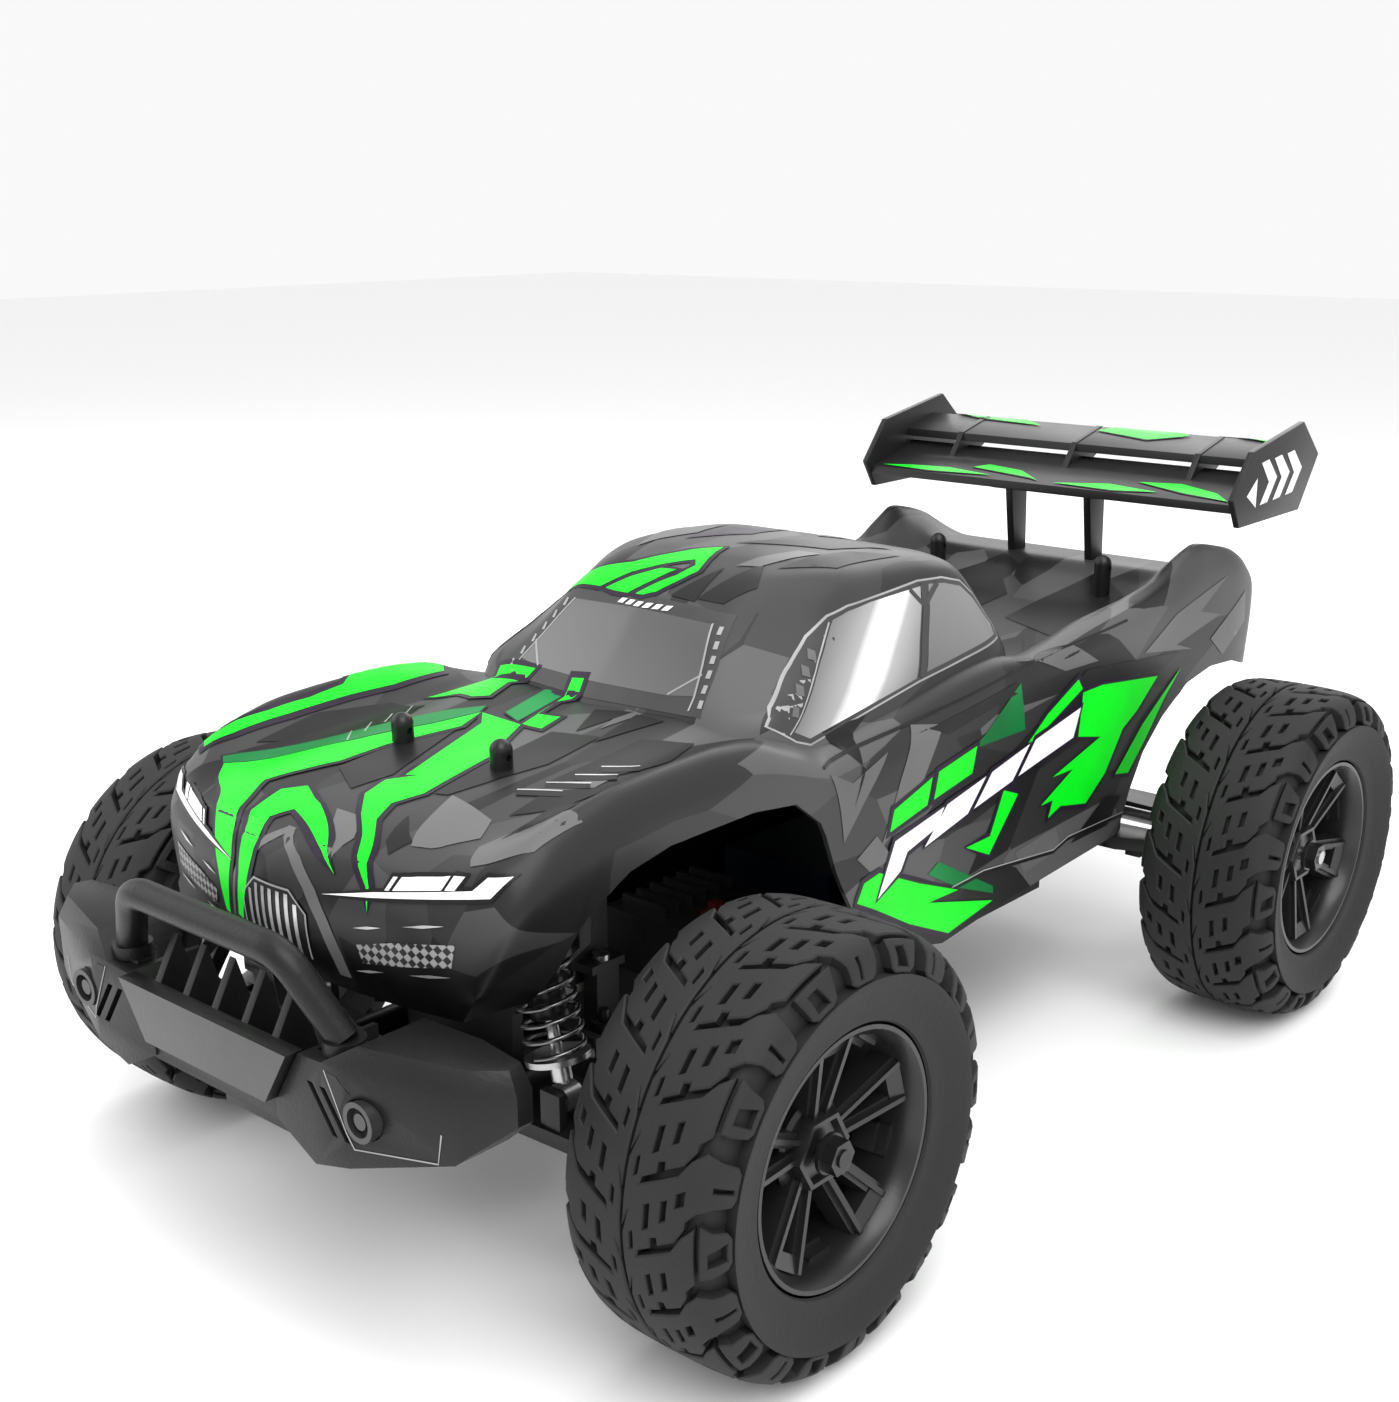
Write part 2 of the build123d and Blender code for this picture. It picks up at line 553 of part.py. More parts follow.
# ---------------------------------------------------------------- chassis
def chassis_tub():
    """Floor pan with the side walls of the middle bay, hinge lugs, rails and posts."""
    floor = full_outline([
        (0, -146.0), (FRONT_BAY_HALF, -146.0), (FRONT_BAY_HALF, -90.0), (TUB_HALF, -62.0),
        (TUB_HALF, 84.0), (REAR_BAY_HALF, 96.0), (REAR_BAY_HALF, 152.0), (0, 152.0),
    ])
    tub = prism_z(floor, FLOOR_BOTTOM, FLOOR_TOP)
    bay = full_outline([(0, -60.0), (TUB_HALF, -60.0), (TUB_HALF, 84.0), (0, 84.0)])
    hollow = full_outline([
        (0, -61.0), (TUB_HALF - WALL, -61.0), (TUB_HALF - WALL, 84.0 - WALL), (0, 84.0 - WALL),
    ])
    tub += prism_z(bay, FLOOR_TOP - 1, WALL_TOP) - prism_z(hollow, FLOOR_TOP - 1, WALL_TOP + 1)
    tub += box(-PAD_HALF, PAD_HALF, PAD_Y[0], PAD_Y[1], FLOOR_BOTTOM - PAD_DEPTH, FLOOR_BOTTOM + 1)
    tub -= box(-HATCH_HALF, HATCH_HALF, HATCH_Y[0], HATCH_Y[1], FLOOR_BOTTOM - 1, FLOOR_TOP + 1)
    tub += box(-16.0, 16.0, -146.0, -140.2, FLOOR_BOTTOM, 44.4)
    tub -= box(-GEARBOX_X[1], -GEARBOX_X[0], 106.5, 141.0, FLOOR_BOTTOM - 1, FLOOR_TOP + 1)
    for sign in (-1, 1):
        tub += hinge_lugs(sign)
        low, high = sorted((sign * 20.0, sign * 22.6))
        tub += box(low, high, HATCH_Y[0] - 2, HATCH_Y[1] + 42.0 - 18, FLOOR_BOTTOM - 2.6, FLOOR_BOTTOM + 1)
        low, high = sorted((sign * 17.4, sign * 22.6))
        tub += box(low, high, HATCH_Y[0] - 2, HATCH_Y[1] + 24.0, FLOOR_BOTTOM - 3.6, FLOOR_BOTTOM - 2.6)
        tub += box(*sorted((sign * 12.0, sign * 18.0)), RACK_Y - 2.4, RACK_Y + 2.4, FLOOR_TOP - 1, 39.3)
    for x in (-21.0, 9.8):
        tub += box(x - 2.4, x + 2.4, SERVO_Y - 4, SERVO_Y + 4, FLOOR_TOP - 1, 53.0)
    return tub


def hinge_lugs(sign):
    """Lugs on one side that hold the suspension arms' hinge pins."""
    lugs = Part()
    front_y0, front_y1 = ARM_F_Y
    for y0, y1 in ((front_y0 - 2.9, front_y0 - 0.4), (front_y1 + 0.4, front_y1 + 2.9)):
        lug_plate = box(*sorted((sign * 12.0, sign * 28.0)), y0, y1, FLOOR_BOTTOM, 46.0)
        lugs += lug_plate - rod_y(y0 - 1, y1 + 1, sign * ARM_F_X, ARM_F_Z, PIN_R)
    first, second = ARM_R_BOSSES
    for y0, y1 in ((first[0] - 2.9, first[0] - 0.4), (second[0] - 2.9, second[0] - 0.4),
                   (second[1] + 0.4, second[1] + 2.9)):
        lug_plate = box(*sorted((sign * 19.8, sign * 30.0)), y0, y1, FLOOR_BOTTOM, 54.0)
        lugs += lug_plate - rod_y(y0 - 1, y1 + 1, sign * ARM_R_X, ARM_R_Z, PIN_R)
    return lugs


def hinge_pins():
    """All suspension hinge pins: one long pin per front arm, two short ones per rear arm."""
    def one_side():
        front_y0, front_y1 = ARM_F_Y
        pins = rod_y(front_y0 - 2.9, front_y1 + 2.9, ARM_F_X, ARM_F_Z, PIN_R)
        for y0, y1 in ARM_R_BOSSES:
            pins += rod_y(y0 - 2.9, y1 + 2.9, ARM_R_X, ARM_R_Z, PIN_R)
        return pins
    return sides(one_side)


def front_tower():
    """Plate that carries the front shocks' top pins and the front body posts."""
    outline = full_outline([
        (0, 92.0), (34.0, 92.0), (42.0, 89.0), (42.0, 80.0), (19.0, 56.0), (19.0, FLOOR_TOP), (0, FLOOR_TOP),
    ])
    tower = prism_y(outline, -121.5, -118.0)
    tower -= box(-8.0, 8.0, -123.0, -117.0, 58.0, 80.0)
    x, z = SHOCK_F_TOP
    tower += sides(lambda: rod_y(SHOCK_F_Y - 4.0, -121.0, x, z, PIN_R))
    return tower


def rear_tower():
    """Plate that carries the rear shocks' top pins, a hinge lug pair and the post shelf."""
    lug_y0, lug_y1 = ARM_R_BOSSES[0][1] + 0.4, ARM_R_BOSSES[0][1] + 3.4
    outline = [
        (0, 97.0), (38.0, 97.0), (43.0, 93.0), (43.0, 86.0), (30.0, 62.0), (30.0, FLOOR_TOP),
        (19.8, FLOOR_TOP), (19.8, 84.0), (0, 84.0),
    ]
    tower = prism_y(full_outline(outline), lug_y0, lug_y1)
    x, z = SHOCK_R_TOP
    tower += sides(lambda: rod_y(SHOCK_R_Y - 4.0, lug_y0 + 0.5, x, z, PIN_R))
    tower += box(-35.0, 35.0, lug_y0, REAR_POST[1] + 4.5, 94.0, 97.0)
    tower -= sides(lambda: rod_y(lug_y0 - 1, lug_y1 + 1, ARM_R_X, ARM_R_Z, PIN_R))
    return tower


def body_post(x, y, base, top):
    """Body post with a foot, a domed head and a cross hole."""
    post = rod_z(base, top - POST_R, x, y, POST_R)
    post += Pos(x, y, top - POST_R) * Sphere(POST_R)
    post += rod_z(base, base + 2.0, x, y, 4.2)
    return post - rod_x(x - 4, x + 4, y, top - POST_R - 1.4, 0.8)


def body_posts():
    """Four posts that the shell drops over."""
    posts = []
    for sign in (-1, 1):
        posts.append(body_post(sign * FRONT_POST[0], FRONT_POST[1], 92.0, FRONT_POST_TOP))
        posts.append(body_post(sign * REAR_POST[0], REAR_POST[1], 97.0, REAR_POST_TOP))
    return Compound(children=[solid for post in posts for solid in post.solids()])


def battery_door():
    """Sliding hatch under the battery, with a thumb ridge."""
    door = box(-19.6, 19.6, HATCH_Y[0] - 1.5, HATCH_Y[1] + 1.5, FLOOR_BOTTOM - 2.2, FLOOR_BOTTOM - 0.3)
    return door + box(-8.0, 8.0, HATCH_Y[1] - 8, HATCH_Y[1] - 5.5, FLOOR_BOTTOM - 3.6, FLOOR_BOTTOM - 2.0)


def battery_pack():
    """Battery block on the floor, with its label band left bare."""
    return box(*BATTERY)


def receiver_box():
    """Receiver and speed controller in one case, with the switch slot on top."""
    case = box(-17.0, 17.0, -52.0, -14.0, FLOOR_TOP, 54.0)
    case -= box(6.0, 12.0, -40.0, -26.0, 51.0, 55.0)
    for index in range(6):
        case += box(-14.0, 2.0, -48.0 + index * 5.6, -46.4 + index * 5.6, 53.5, 57.0)
    return case


def power_switch():
    """Slide switch in the controller's slot."""
    return box(6.5, 11.5, -39.0, -32.0, 51.4, 54.6) + box(7.5, 10.5, -37.0, -34.0, 54.0, 57.0)


def chassis_screws():
    """Pan-head screws of the towers, servo and bumper."""
    def screw(x, y, z):
        return rod_z(z, z + 1.6, x, y, 2.4) - box(x - 1.6, x + 1.6, y - 0.3, y + 0.3, z + 1.0, z + 2.0)
    places = [(x, SERVO_Y, 55.2) for x in (-21.0, 9.8)]
    places += [(x, -143.0, 50.0) for x in (-8.0, 8.0)]
    places += [(x, REAR_POST[1], 97.0) for x in (-12.0, 12.0)]
    return Compound(children=[s for place in places for s in screw(*place).solids()])


# ---------------------------------------------------------------- bumper
def front_bumper():
    """Faceted bumper: centre plate, fins, tray, stem and a pod at each end."""
    plate = prism_y(full_outline([(0, 76.0), (29.9, 76.0), (21.6, 62.9), (0, 62.9)]), BUMPER_FRONT, -189.0)
    plate += prism_y(full_outline([(0, 63.2), (24.0, 63.2), (34.0, 57.5), (0, 57.5)]), -190.5, -176.0)
    plate += box(-36.0, 36.0, -189.5, -170.0, 66.0, 69.0)
    plate += box(-16.0, 16.0, -178.0, -140.4, 44.4, 50.0)
    plate += box(-16.0, 16.0, -178.0, -174.5, 44.4, 68.0)
    for index in range(5):
        x = (index - 2) * 10.5
        fin = [(-189.2, 68.5), (-189.2, 76.0), (-183.5, 86.0), (-178.5, 68.5)]
        plate += prism_x(fin, x - 1.1, x + 1.1)
    plate += sides(bumper_pod)
    return plate


def bumper_pod():
    """Left corner pod with a bevelled top edge, its slots and round lamp recess."""
    face = [
        (22.0, -191.0), (45.0, -191.0), (71.0, -183.5), (79.0, -176.5), (77.5, -171.0),
        (62.0, -169.0), (22.0, -172.0),
    ]
    rim_edge = [
        (22.0, -188.0), (45.5, -188.0), (70.0, -181.0), (76.0, -175.5), (75.0, -171.5),
        (62.0, -169.5), (22.0, -172.0),
    ]
    front = [
        (22.0, 58.5), (22.0, 62.9), (30.5, 76.0), (38.0, 76.5), (46.0, POD_TOP), (80.0, POD_TOP),
        (80.0, 71.5), (69.0, 61.8), (34.0, 52.2),
    ]
    heights = ((face, 50.0), (face, POD_BEVEL), (rim_edge, POD_TOP))
    levels = [[(x, y, z) for x, y in plan] for plan, z in heights]
    pod = loft_levels(levels) & prism_y(front, -195.0, -165.0)
    inside = [(32.0, -187.0), (45.0, -187.0), (68.0, -180.0), (68.0, -160.0), (32.0, -160.0)]
    pod -= prism_z(inside, 60.5, POD_BEVEL)
    for index in range(2):
        x = 33.0 + index * 4.0
        slot = [(x, 71.0), (x + 1.8, 71.0), (x + 9.0, 61.0), (x + 7.2, 61.0)]
        pod -= prism_y(slot, -195.0, -185.0)
    return pod - rod_y(-195.0, -184.0, LAMP_X, LAMP_Z, 4.6)


def bull_bar():
    """Round bar over the centre plate, on two sloping legs."""
    foot, bend = (37.7, -184.5, 79.2), (26.5, -189.8, 96.3)
    path = FilletPolyline((-foot[0], foot[1], foot[2]), (-bend[0], bend[1], bend[2]),
                          (bend[0], bend[1], bend[2]), foot, radius=9.0)
    section = Plane(origin=path @ 0, z_dir=path % 0) * Circle(BULL_TUBE_R)
    bar = sweep(section, path=path)
    return bar + sides(lambda: rod_z(76.6, 79.6, foot[0], foot[1], 4.6))


def bumper_lamps():
    """Round lamp cup with its lens in each pod."""
    def lamp():
        cup = rod_y(-191.4, -187.4, LAMP_X, LAMP_Z, 4.4)
        cup -= rod_y(-192.0, -189.5, LAMP_X, LAMP_Z, 3.2)
        return cup + rod_y(-190.8, -189.0, LAMP_X, LAMP_Z, 1.8)
    return sides(lamp)


# ---------------------------------------------------------------- body shell
def hull(inset):
    """Lower body of the shell, shrunk by the inset on its sides, top and ends."""
    levels = []
    for y, foot_x, waist_x, shoulder_x, crest_x, crest_z, deck_x, deck_z, centre_z in SHELL_STATIONS:
        half = [
            (0, centre_z - inset), (deck_x, deck_z - inset), (crest_x - inset, crest_z - inset),
            (shoulder_x - inset, SHOULDER_Z), (waist_x - inset, WAIST_Z), (max(0.5, foot_x - inset), FOOT_Z),
        ]
        levels.append([(x, y, z) for x, z in full_outline(half + [(0, FOOT_Z)])])
    body = loft_levels(levels)
    nose = full_outline([
        (0, -173.0 + inset), (25.0, -170.5 + inset), (42.0, -165.5 + inset), (61.0 - inset, -155.0 + inset),
        (63.0, -150.0), (63.0, 172.0), (50.0, 177.0 - inset), (0, 177.0 - inset),
    ])
    return body & prism_z(nose, FOOT_Z - 1, 150.0)


def cab(inset):
    """Greenhouse of the shell, shrunk by the inset."""
    levels = []
    for index, (z, half) in enumerate(CAB_LEVELS):
        height = z - inset if index == len(CAB_LEVELS) - 1 else z
        if index == 0:
            height = z - 12.0 * (inset > 0) - 4.0
        outline = [(max(0, x - inset) if x else 0, y + (inset if y < -5 else -inset)) for x, y in half]
        levels.append([(x, y, height) for x, y in full_outline(outline)])
    return loft_levels(levels)


def bed_pocket(grow):
    """Open truck bed, grown by the wall thickness on its floor, sides and ends."""
    profile = [
        (BED_FRONT - grow, 160.0), (BED_FRONT - grow, 101.0 - grow), (80.0, 104.0 - grow),
        (112.0, 115.0 - grow), (BED_REAR + grow, 122.0 - grow), (BED_REAR + grow, 160.0),
    ]
    return prism_x(profile, -BED_HALF - grow, BED_HALF + grow)


def body_shell():
    """Thin one-piece shell with open arches, open bed, underside open and four post holes."""
    below = prism_x(list(SIDE_EDGE) + [(182.0, 0.0), (-180.0, 0.0)], -80.0, 80.0)
    outside = hull(0.0) - below + cab(0.0) - bed_pocket(0.0)
    inside = hull(SHELL_T) + cab(SHELL_T) - bed_pocket(SHELL_T)
    shell = outside - inside
    for sign in (-1, 1):
        for x, y in (FRONT_POST, REAR_POST):
            shell -= rod_z(90.0, 135.0, sign * x, y, POST_HOLE_R)
    return shell


# ---------------------------------------------------------------- rear wing
def rear_wing():
    """Two blades joined by a centre fence and two short fences, over a mounting plate."""
    span = END_PLATE_X - END_PLATE_T / 2
    lower = [(137.0, 146.0), (150.0, 148.0), (163.0, 153.0), (162.4, 155.2), (149.0, 151.2), (137.0, 148.6)]
    upper = [(158.0, 157.0), (174.0, 160.4), (190.0, 158.4), (190.0, 160.4), (174.0, 163.6), (158.0, 159.6)]
    wing = prism_x(lower, -span, span)
    wing += prism_x(upper, -span, span)
    fence = [(150.0, 149.0), (168.0, 153.0), (182.0, 160.0), (174.0, 163.9), (158.0, 160.0)]
    for x in (-44.0, 0.0, 44.0):
        wing += prism_x(fence, x - 1.0, x + 1.0)
    return wing + box(-20.0, 20.0, 141.0, 152.0, 145.2, 148.2)


def wing_end_plates():
    """Hexagonal plate on each end of the blades."""
    half = END_PLATE_T / 2
    return sides(lambda: prism_x(END_PLATE, END_PLATE_X - half, END_PLATE_X + half))


def wing_supports():
    """Two flat struts from the tailgate up to the wing's mounting plate."""
    strut = [(146.4, 123.4), (153.5, 123.4), (152.0, 145.2), (142.5, 145.2)]
    return sides(lambda: prism_x(strut, 13.2, 15.8))


# ---------------------------------------------------------------- assembly
def place(piece, y):
    """Left-hand wheel piece, moved from the origin to an axle."""
    return Pos(0, y, AXLE_Z) * piece


def build_nodes():
    """Every node of the truck by name."""
    nodes = {
        "chassis_tub": chassis_tub(), "hinge_pins": hinge_pins(), "front_tower": front_tower(),
        "rear_tower": rear_tower(), "body_posts": body_posts(), "battery_pack": battery_pack(),
        "battery_door": battery_door(), "receiver_box": receiver_box(), "power_switch": power_switch(),
        "chassis_screws": chassis_screws(), "steering_servo": steering_servo(),
        "servo_horn": servo_horn(), "steering_rack": steering_rack(), "gearbox_case": gearbox_case(),
        "drive_motor": drive_motor(), "motor_pinion": motor_pinion(), "final_gear": final_gear(),
        "front_bumper": front_bumper(), "bull_bar": bull_bar(), "bumper_lamps": bumper_lamps(),
        "body_shell": body_shell(), "rear_wing": rear_wing(), "wing_end_plates": wing_end_plates(),
        "wing_supports": wing_supports(),
    }
    left = {"left": lambda piece: piece, "right": lambda piece: mirror(piece, about=Plane.YZ)}
    tyre_piece, rim_piece, nut_piece = tyre(), rim(), wheel_nut()
    for side, put in left.items():
        for end, y in (("front", FRONT_Y), ("rear", REAR_Y)):
            nodes[f"{end}_{side}_tyre"] = put(place(tyre_piece, y))
            nodes[f"{end}_{side}_rim"] = put(place(rim_piece, y))
            nodes[f"{end}_{side}_nut"] = put(place(nut_piece, y))
        nodes[f"front_{side}_arm"] = put(front_arm())
        nodes[f"front_{side}_knuckle"] = put(knuckle())
        nodes[f"front_{side}_link"] = put(steering_link())
        nodes[f"rear_{side}_arm"] = put(rear_arm())
        nodes[f"rear_{side}_half_shaft"] = put(half_shaft())
        nodes[f"rear_{side}_outdrive"] = put(outdrive(-11.5 if side == "left" else 12.5))
        for end, top, foot, y in (("front", SHOCK_F_TOP, SHOCK_F_FOOT, SHOCK_F_Y),
                                  ("rear", SHOCK_R_TOP, SHOCK_R_FOOT, SHOCK_R_Y)):
            nodes[f"{end}_{side}_shock_body"] = put(shock_body(top, foot, y))
            nodes[f"{end}_{side}_shock_rod"] = put(shock_rod(top, foot, y))
            nodes[f"{end}_{side}_spring"] = put(shock_spring(top, foot, y))
    return nodes


def main():
    """Write one STEP file per node."""
    os.makedirs("parts", exist_ok=True)
    for name, shape in build_nodes().items():
        export_step(shape, f"parts/{name}.step")


if __name__ == "__main__":
    main()
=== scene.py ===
import json
from math import atan2, cos, degrees, hypot, pi, radians, sin

import bmesh
import bpy
from mathutils import Matrix, Vector
from mathutils.bvhtree import BVHTree
from mathutils.geometry import delaunay_2d_cdt


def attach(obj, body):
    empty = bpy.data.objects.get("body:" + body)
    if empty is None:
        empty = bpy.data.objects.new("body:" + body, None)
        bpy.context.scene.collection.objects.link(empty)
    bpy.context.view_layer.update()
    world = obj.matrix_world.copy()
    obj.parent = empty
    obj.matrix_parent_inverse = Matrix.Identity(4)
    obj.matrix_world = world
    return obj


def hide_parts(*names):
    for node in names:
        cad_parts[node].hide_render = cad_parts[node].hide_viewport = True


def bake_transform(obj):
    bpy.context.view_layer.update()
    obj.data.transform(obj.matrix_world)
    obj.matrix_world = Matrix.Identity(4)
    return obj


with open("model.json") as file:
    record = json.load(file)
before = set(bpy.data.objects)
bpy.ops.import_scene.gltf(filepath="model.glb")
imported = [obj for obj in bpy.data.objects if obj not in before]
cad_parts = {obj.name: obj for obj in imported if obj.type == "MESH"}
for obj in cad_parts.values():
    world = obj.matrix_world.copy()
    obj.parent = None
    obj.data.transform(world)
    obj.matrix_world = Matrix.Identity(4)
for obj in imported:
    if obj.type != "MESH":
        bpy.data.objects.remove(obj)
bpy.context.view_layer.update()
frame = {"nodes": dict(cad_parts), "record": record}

MM = 0.001

# ------------------------------------------------------------------ driving sizes, in millimetres
AXLE_Z = 50.0
FRONT_Y = -115.5
REAR_Y = 123.8
AXLES = {"front": FRONT_Y, "rear": REAR_Y}
SIDES = {"left": 1, "right": -1}


# ------------------------------------------------------------------ materials
def shader(name):
    """New node material, its node tree and its Principled shader."""
    material = bpy.data.materials.new(name)
    material.use_nodes = True
    tree = material.node_tree
    return material, tree, tree.nodes["Principled BSDF"]


def add_node(tree, kind, **values):
    """One shader node with its sockets set by name."""
    node = tree.nodes.new(kind)
    for key, value in values.items():
        node.inputs[key].default_value = value
    return node


def object_space(tree, scale=1.0):
    """Object coordinates, scaled."""
    coords = tree.nodes.new("ShaderNodeTexCoord")
    mapping = tree.nodes.new("ShaderNodeMapping")
    mapping.inputs["Scale"].default_value = (scale, scale, scale)
    tree.links.new(coords.outputs["Object"], mapping.inputs["Vector"])
    return mapping.outputs["Vector"]


def ramp(tree, source, stops):
    """Colour ramp from position, colour pairs."""
    node = tree.nodes.new("ShaderNodeValToRGB")
    elements = node.color_ramp.elements
    while len(elements) < len(stops):
        elements.new(0.5)
    for element, (place, colour) in zip(elements, stops):
        element.position = place
        element.color = (*colour, 1.0)
    tree.links.new(source, node.inputs["Fac"])
    return node.outputs["Color"]


def noise(tree, place, **values):
    """Noise texture at a place."""
    node = add_node(tree, "ShaderNodeTexNoise", **values)
    tree.links.new(place, node.inputs["Vector"])
    return node


def uneven_gloss(tree, bsdf, source, low, high):
    """Roughness between two values that follows a texture."""
    node = tree.nodes.new("ShaderNodeMapRange")
    node.inputs["To Min"].default_value = low
    node.inputs["To Max"].default_value = high
    tree.links.new(source, node.inputs["Value"])
    tree.links.new(node.outputs["Result"], bsdf.inputs["Roughness"])


def multiplied(tree, first, second, share):
    """Product of two colours, mixed in by a share."""
    node = tree.nodes.new("ShaderNodeMix")
    node.data_type = "RGBA"
    node.blend_type = "MULTIPLY"
    node.inputs["Factor"].default_value = share
    tree.links.new(first, node.inputs[6])
    tree.links.new(second, node.inputs[7])
    return node.outputs[2]


def grey(value):
    """Neutral colour."""
    return (value, value, value)


def surface(name, colour, rough, metal=0.0, grain=0.0, grain_scale=900.0, mottle=0.12, wear=0.0,
            coat=0.0, specular=0.5):
    """Moulded or machined surface: mottled colour, uneven gloss, fine grain and scuffed spots."""
    material, tree, bsdf = shader(name)
    place = object_space(tree)
    cloud = noise(tree, place, Scale=38.0, Detail=6.0, Roughness=0.6)
    dark = tuple(c * (1 - mottle) for c in colour)
    light = tuple(min(1.0, c * (1 + mottle) + 0.01 * wear) for c in colour)
    tint = ramp(tree, cloud.outputs["Fac"], [(0.35, dark), (0.65, light)])
    tree.links.new(tint, bsdf.inputs["Base Color"])
    fine = noise(tree, place, Scale=grain_scale, Detail=3.0, Roughness=0.55)
    uneven_gloss(tree, bsdf, cloud.outputs["Fac"], max(0.02, rough - 0.07), min(1.0, rough + 0.09))
    bump = add_node(tree, "ShaderNodeBump", Strength=grain, Distance=0.0002)
    tree.links.new(fine.outputs["Fac"], bump.inputs["Height"])
    tree.links.new(bump.outputs["Normal"], bsdf.inputs["Normal"])
    bsdf.inputs["Metallic"].default_value = metal
    bsdf.inputs["Coat Weight"].default_value = coat
    bsdf.inputs["Specular IOR Level"].default_value = specular
    return material


MATERIALS = {
    "chassis_plastic": surface("chassis_plastic", grey(0.012), 0.55, grain=0.5),
    "black_plastic": surface("black_plastic", grey(0.006), 0.34, grain=0.25, specular=0.35),
    "bumper_plastic": surface("bumper_plastic", grey(0.007), 0.4, grain=0.45, specular=0.28),
    "bumper_plate": surface("bumper_plate", grey(0.075), 0.42, grain=0.35, specular=0.3),
    "wing_plastic": surface("wing_plastic", grey(0.014), 0.36, grain=0.2, specular=0.3),
    "tyre_rubber": surface("tyre_rubber", grey(0.013), 0.66, grain=0.6, grain_scale=700.0,
                           specular=0.32),
    "rim_plastic": surface("rim_plastic", grey(0.012), 0.28, grain=0.15, specular=0.4),
    "steel": surface("steel", grey(0.42), 0.3, metal=1.0, grain=0.3),
    "spring_steel": surface("spring_steel", grey(0.2), 0.28, metal=1.0, grain=0.15),
    "dark_steel": surface("dark_steel", grey(0.035), 0.3, metal=0.7, grain=0.2),
    "motor_can": surface("motor_can", grey(0.5), 0.35, metal=1.0, grain=0.3),
    "brass": surface("brass", (0.62, 0.42, 0.16), 0.3, metal=1.0, grain=0.2),
    "white_plastic": surface("white_plastic", (0.7, 0.69, 0.65), 0.5, grain=0.3),
    "electronics_case": surface("electronics_case", grey(0.01), 0.5, grain=0.4),
    "battery_wrap": surface("battery_wrap", (0.01, 0.016, 0.03), 0.3, grain=0.1, specular=0.3),
    "switch_red": surface("switch_red", (0.12, 0.01, 0.01), 0.45, grain=0.2, specular=0.3),
    "lamp_clear": surface("lamp_clear", grey(0.06), 0.15, grain=0.05, metal=0.6),
}


def sheen(name, colour, rough=0.32, scale=60.0, contrast=0.2, metal=0.0):
    """Printed film: value that varies slightly in soft clouds, and gloss that varies in flakes."""
    material, tree, bsdf = shader(name)
    place = object_space(tree)
    flake = add_node(tree, "ShaderNodeTexVoronoi", Scale=scale)
    tree.links.new(place, flake.inputs["Vector"])
    cloud = noise(tree, place, Scale=scale * 0.6, Detail=5.0)
    dark = tuple(c * (1 - contrast) for c in colour)
    light = tuple(min(1.0, c * (1 + contrast)) for c in colour)
    tint = ramp(tree, cloud.outputs["Fac"], [(0.3, dark), (0.7, light)])
    tree.links.new(tint, bsdf.inputs["Base Color"])
    uneven_gloss(tree, bsdf, flake.outputs["Distance"], rough - 0.05, rough + 0.08)
    bsdf.inputs["Specular IOR Level"].default_value = 0.22
    bsdf.inputs["Metallic"].default_value = metal
    return material


def axis_gradient(tree, across, stops, low, high):
    """Colour ramp along a direction of object space, in millimetres from low to high."""
    coords = tree.nodes.new("ShaderNodeTexCoord")
    dot = tree.nodes.new("ShaderNodeVectorMath")
    dot.operation = "DOT_PRODUCT"
    dot.inputs[1].default_value = [a / MM for a in across]
    tree.links.new(coords.outputs["Object"], dot.inputs[0])
    place = tree.nodes.new("ShaderNodeMapRange")
    place.inputs["From Min"].default_value = low
    place.inputs["From Max"].default_value = high
    tree.links.new(dot.outputs["Value"], place.inputs["Value"])
    return ramp(tree, place.outputs["Result"], stops)


def window_print_and_reflection(name, across, stops, low, high):
    """Printed window with a painted reflection, a soft band of light across it."""
    material, tree, bsdf = shader(name)
    tint = axis_gradient(tree, across, stops, low, high)
    cloud = noise(tree, object_space(tree), Scale=25.0, Detail=4.0)
    veil = ramp(tree, cloud.outputs["Fac"], [(0.3, grey(0.75)), (0.7, grey(1.0))])
    tree.links.new(multiplied(tree, tint, veil, 0.25), bsdf.inputs["Base Color"])
    bsdf.inputs["Roughness"].default_value = 0.25
    bsdf.inputs["Specular IOR Level"].default_value = 0.35
    return material


def mesh_print():
    """Fine diamond mesh of grey and near-black checks."""
    material, tree, bsdf = shader("print_mesh")
    coords = tree.nodes.new("ShaderNodeTexCoord")
    turned_uv = tree.nodes.new("ShaderNodeMapping")
    turned_uv.inputs["Rotation"].default_value = (0.0, radians(45.0), 0.0)
    turned_uv.inputs["Scale"].default_value = (700.0, 0.0, 700.0)
    tree.links.new(coords.outputs["Object"], turned_uv.inputs["Vector"])
    check = add_node(tree, "ShaderNodeTexChecker", Scale=1.0)
    check.inputs["Color1"].default_value = (0.28, 0.28, 0.28, 1.0)
    check.inputs["Color2"].default_value = (0.006, 0.006, 0.006, 1.0)
    tree.links.new(turned_uv.outputs["Vector"], check.inputs["Vector"])
    tree.links.new(check.outputs["Color"], bsdf.inputs["Base Color"])
    bsdf.inputs["Roughness"].default_value = 0.35
    return material


# Share of the shards at which each grey starts, and its value.
CAMO_TONES = ((0.0, 0.021), (0.3, 0.037), (0.55, 0.056), (0.75, 0.011), (0.88, 0.083))


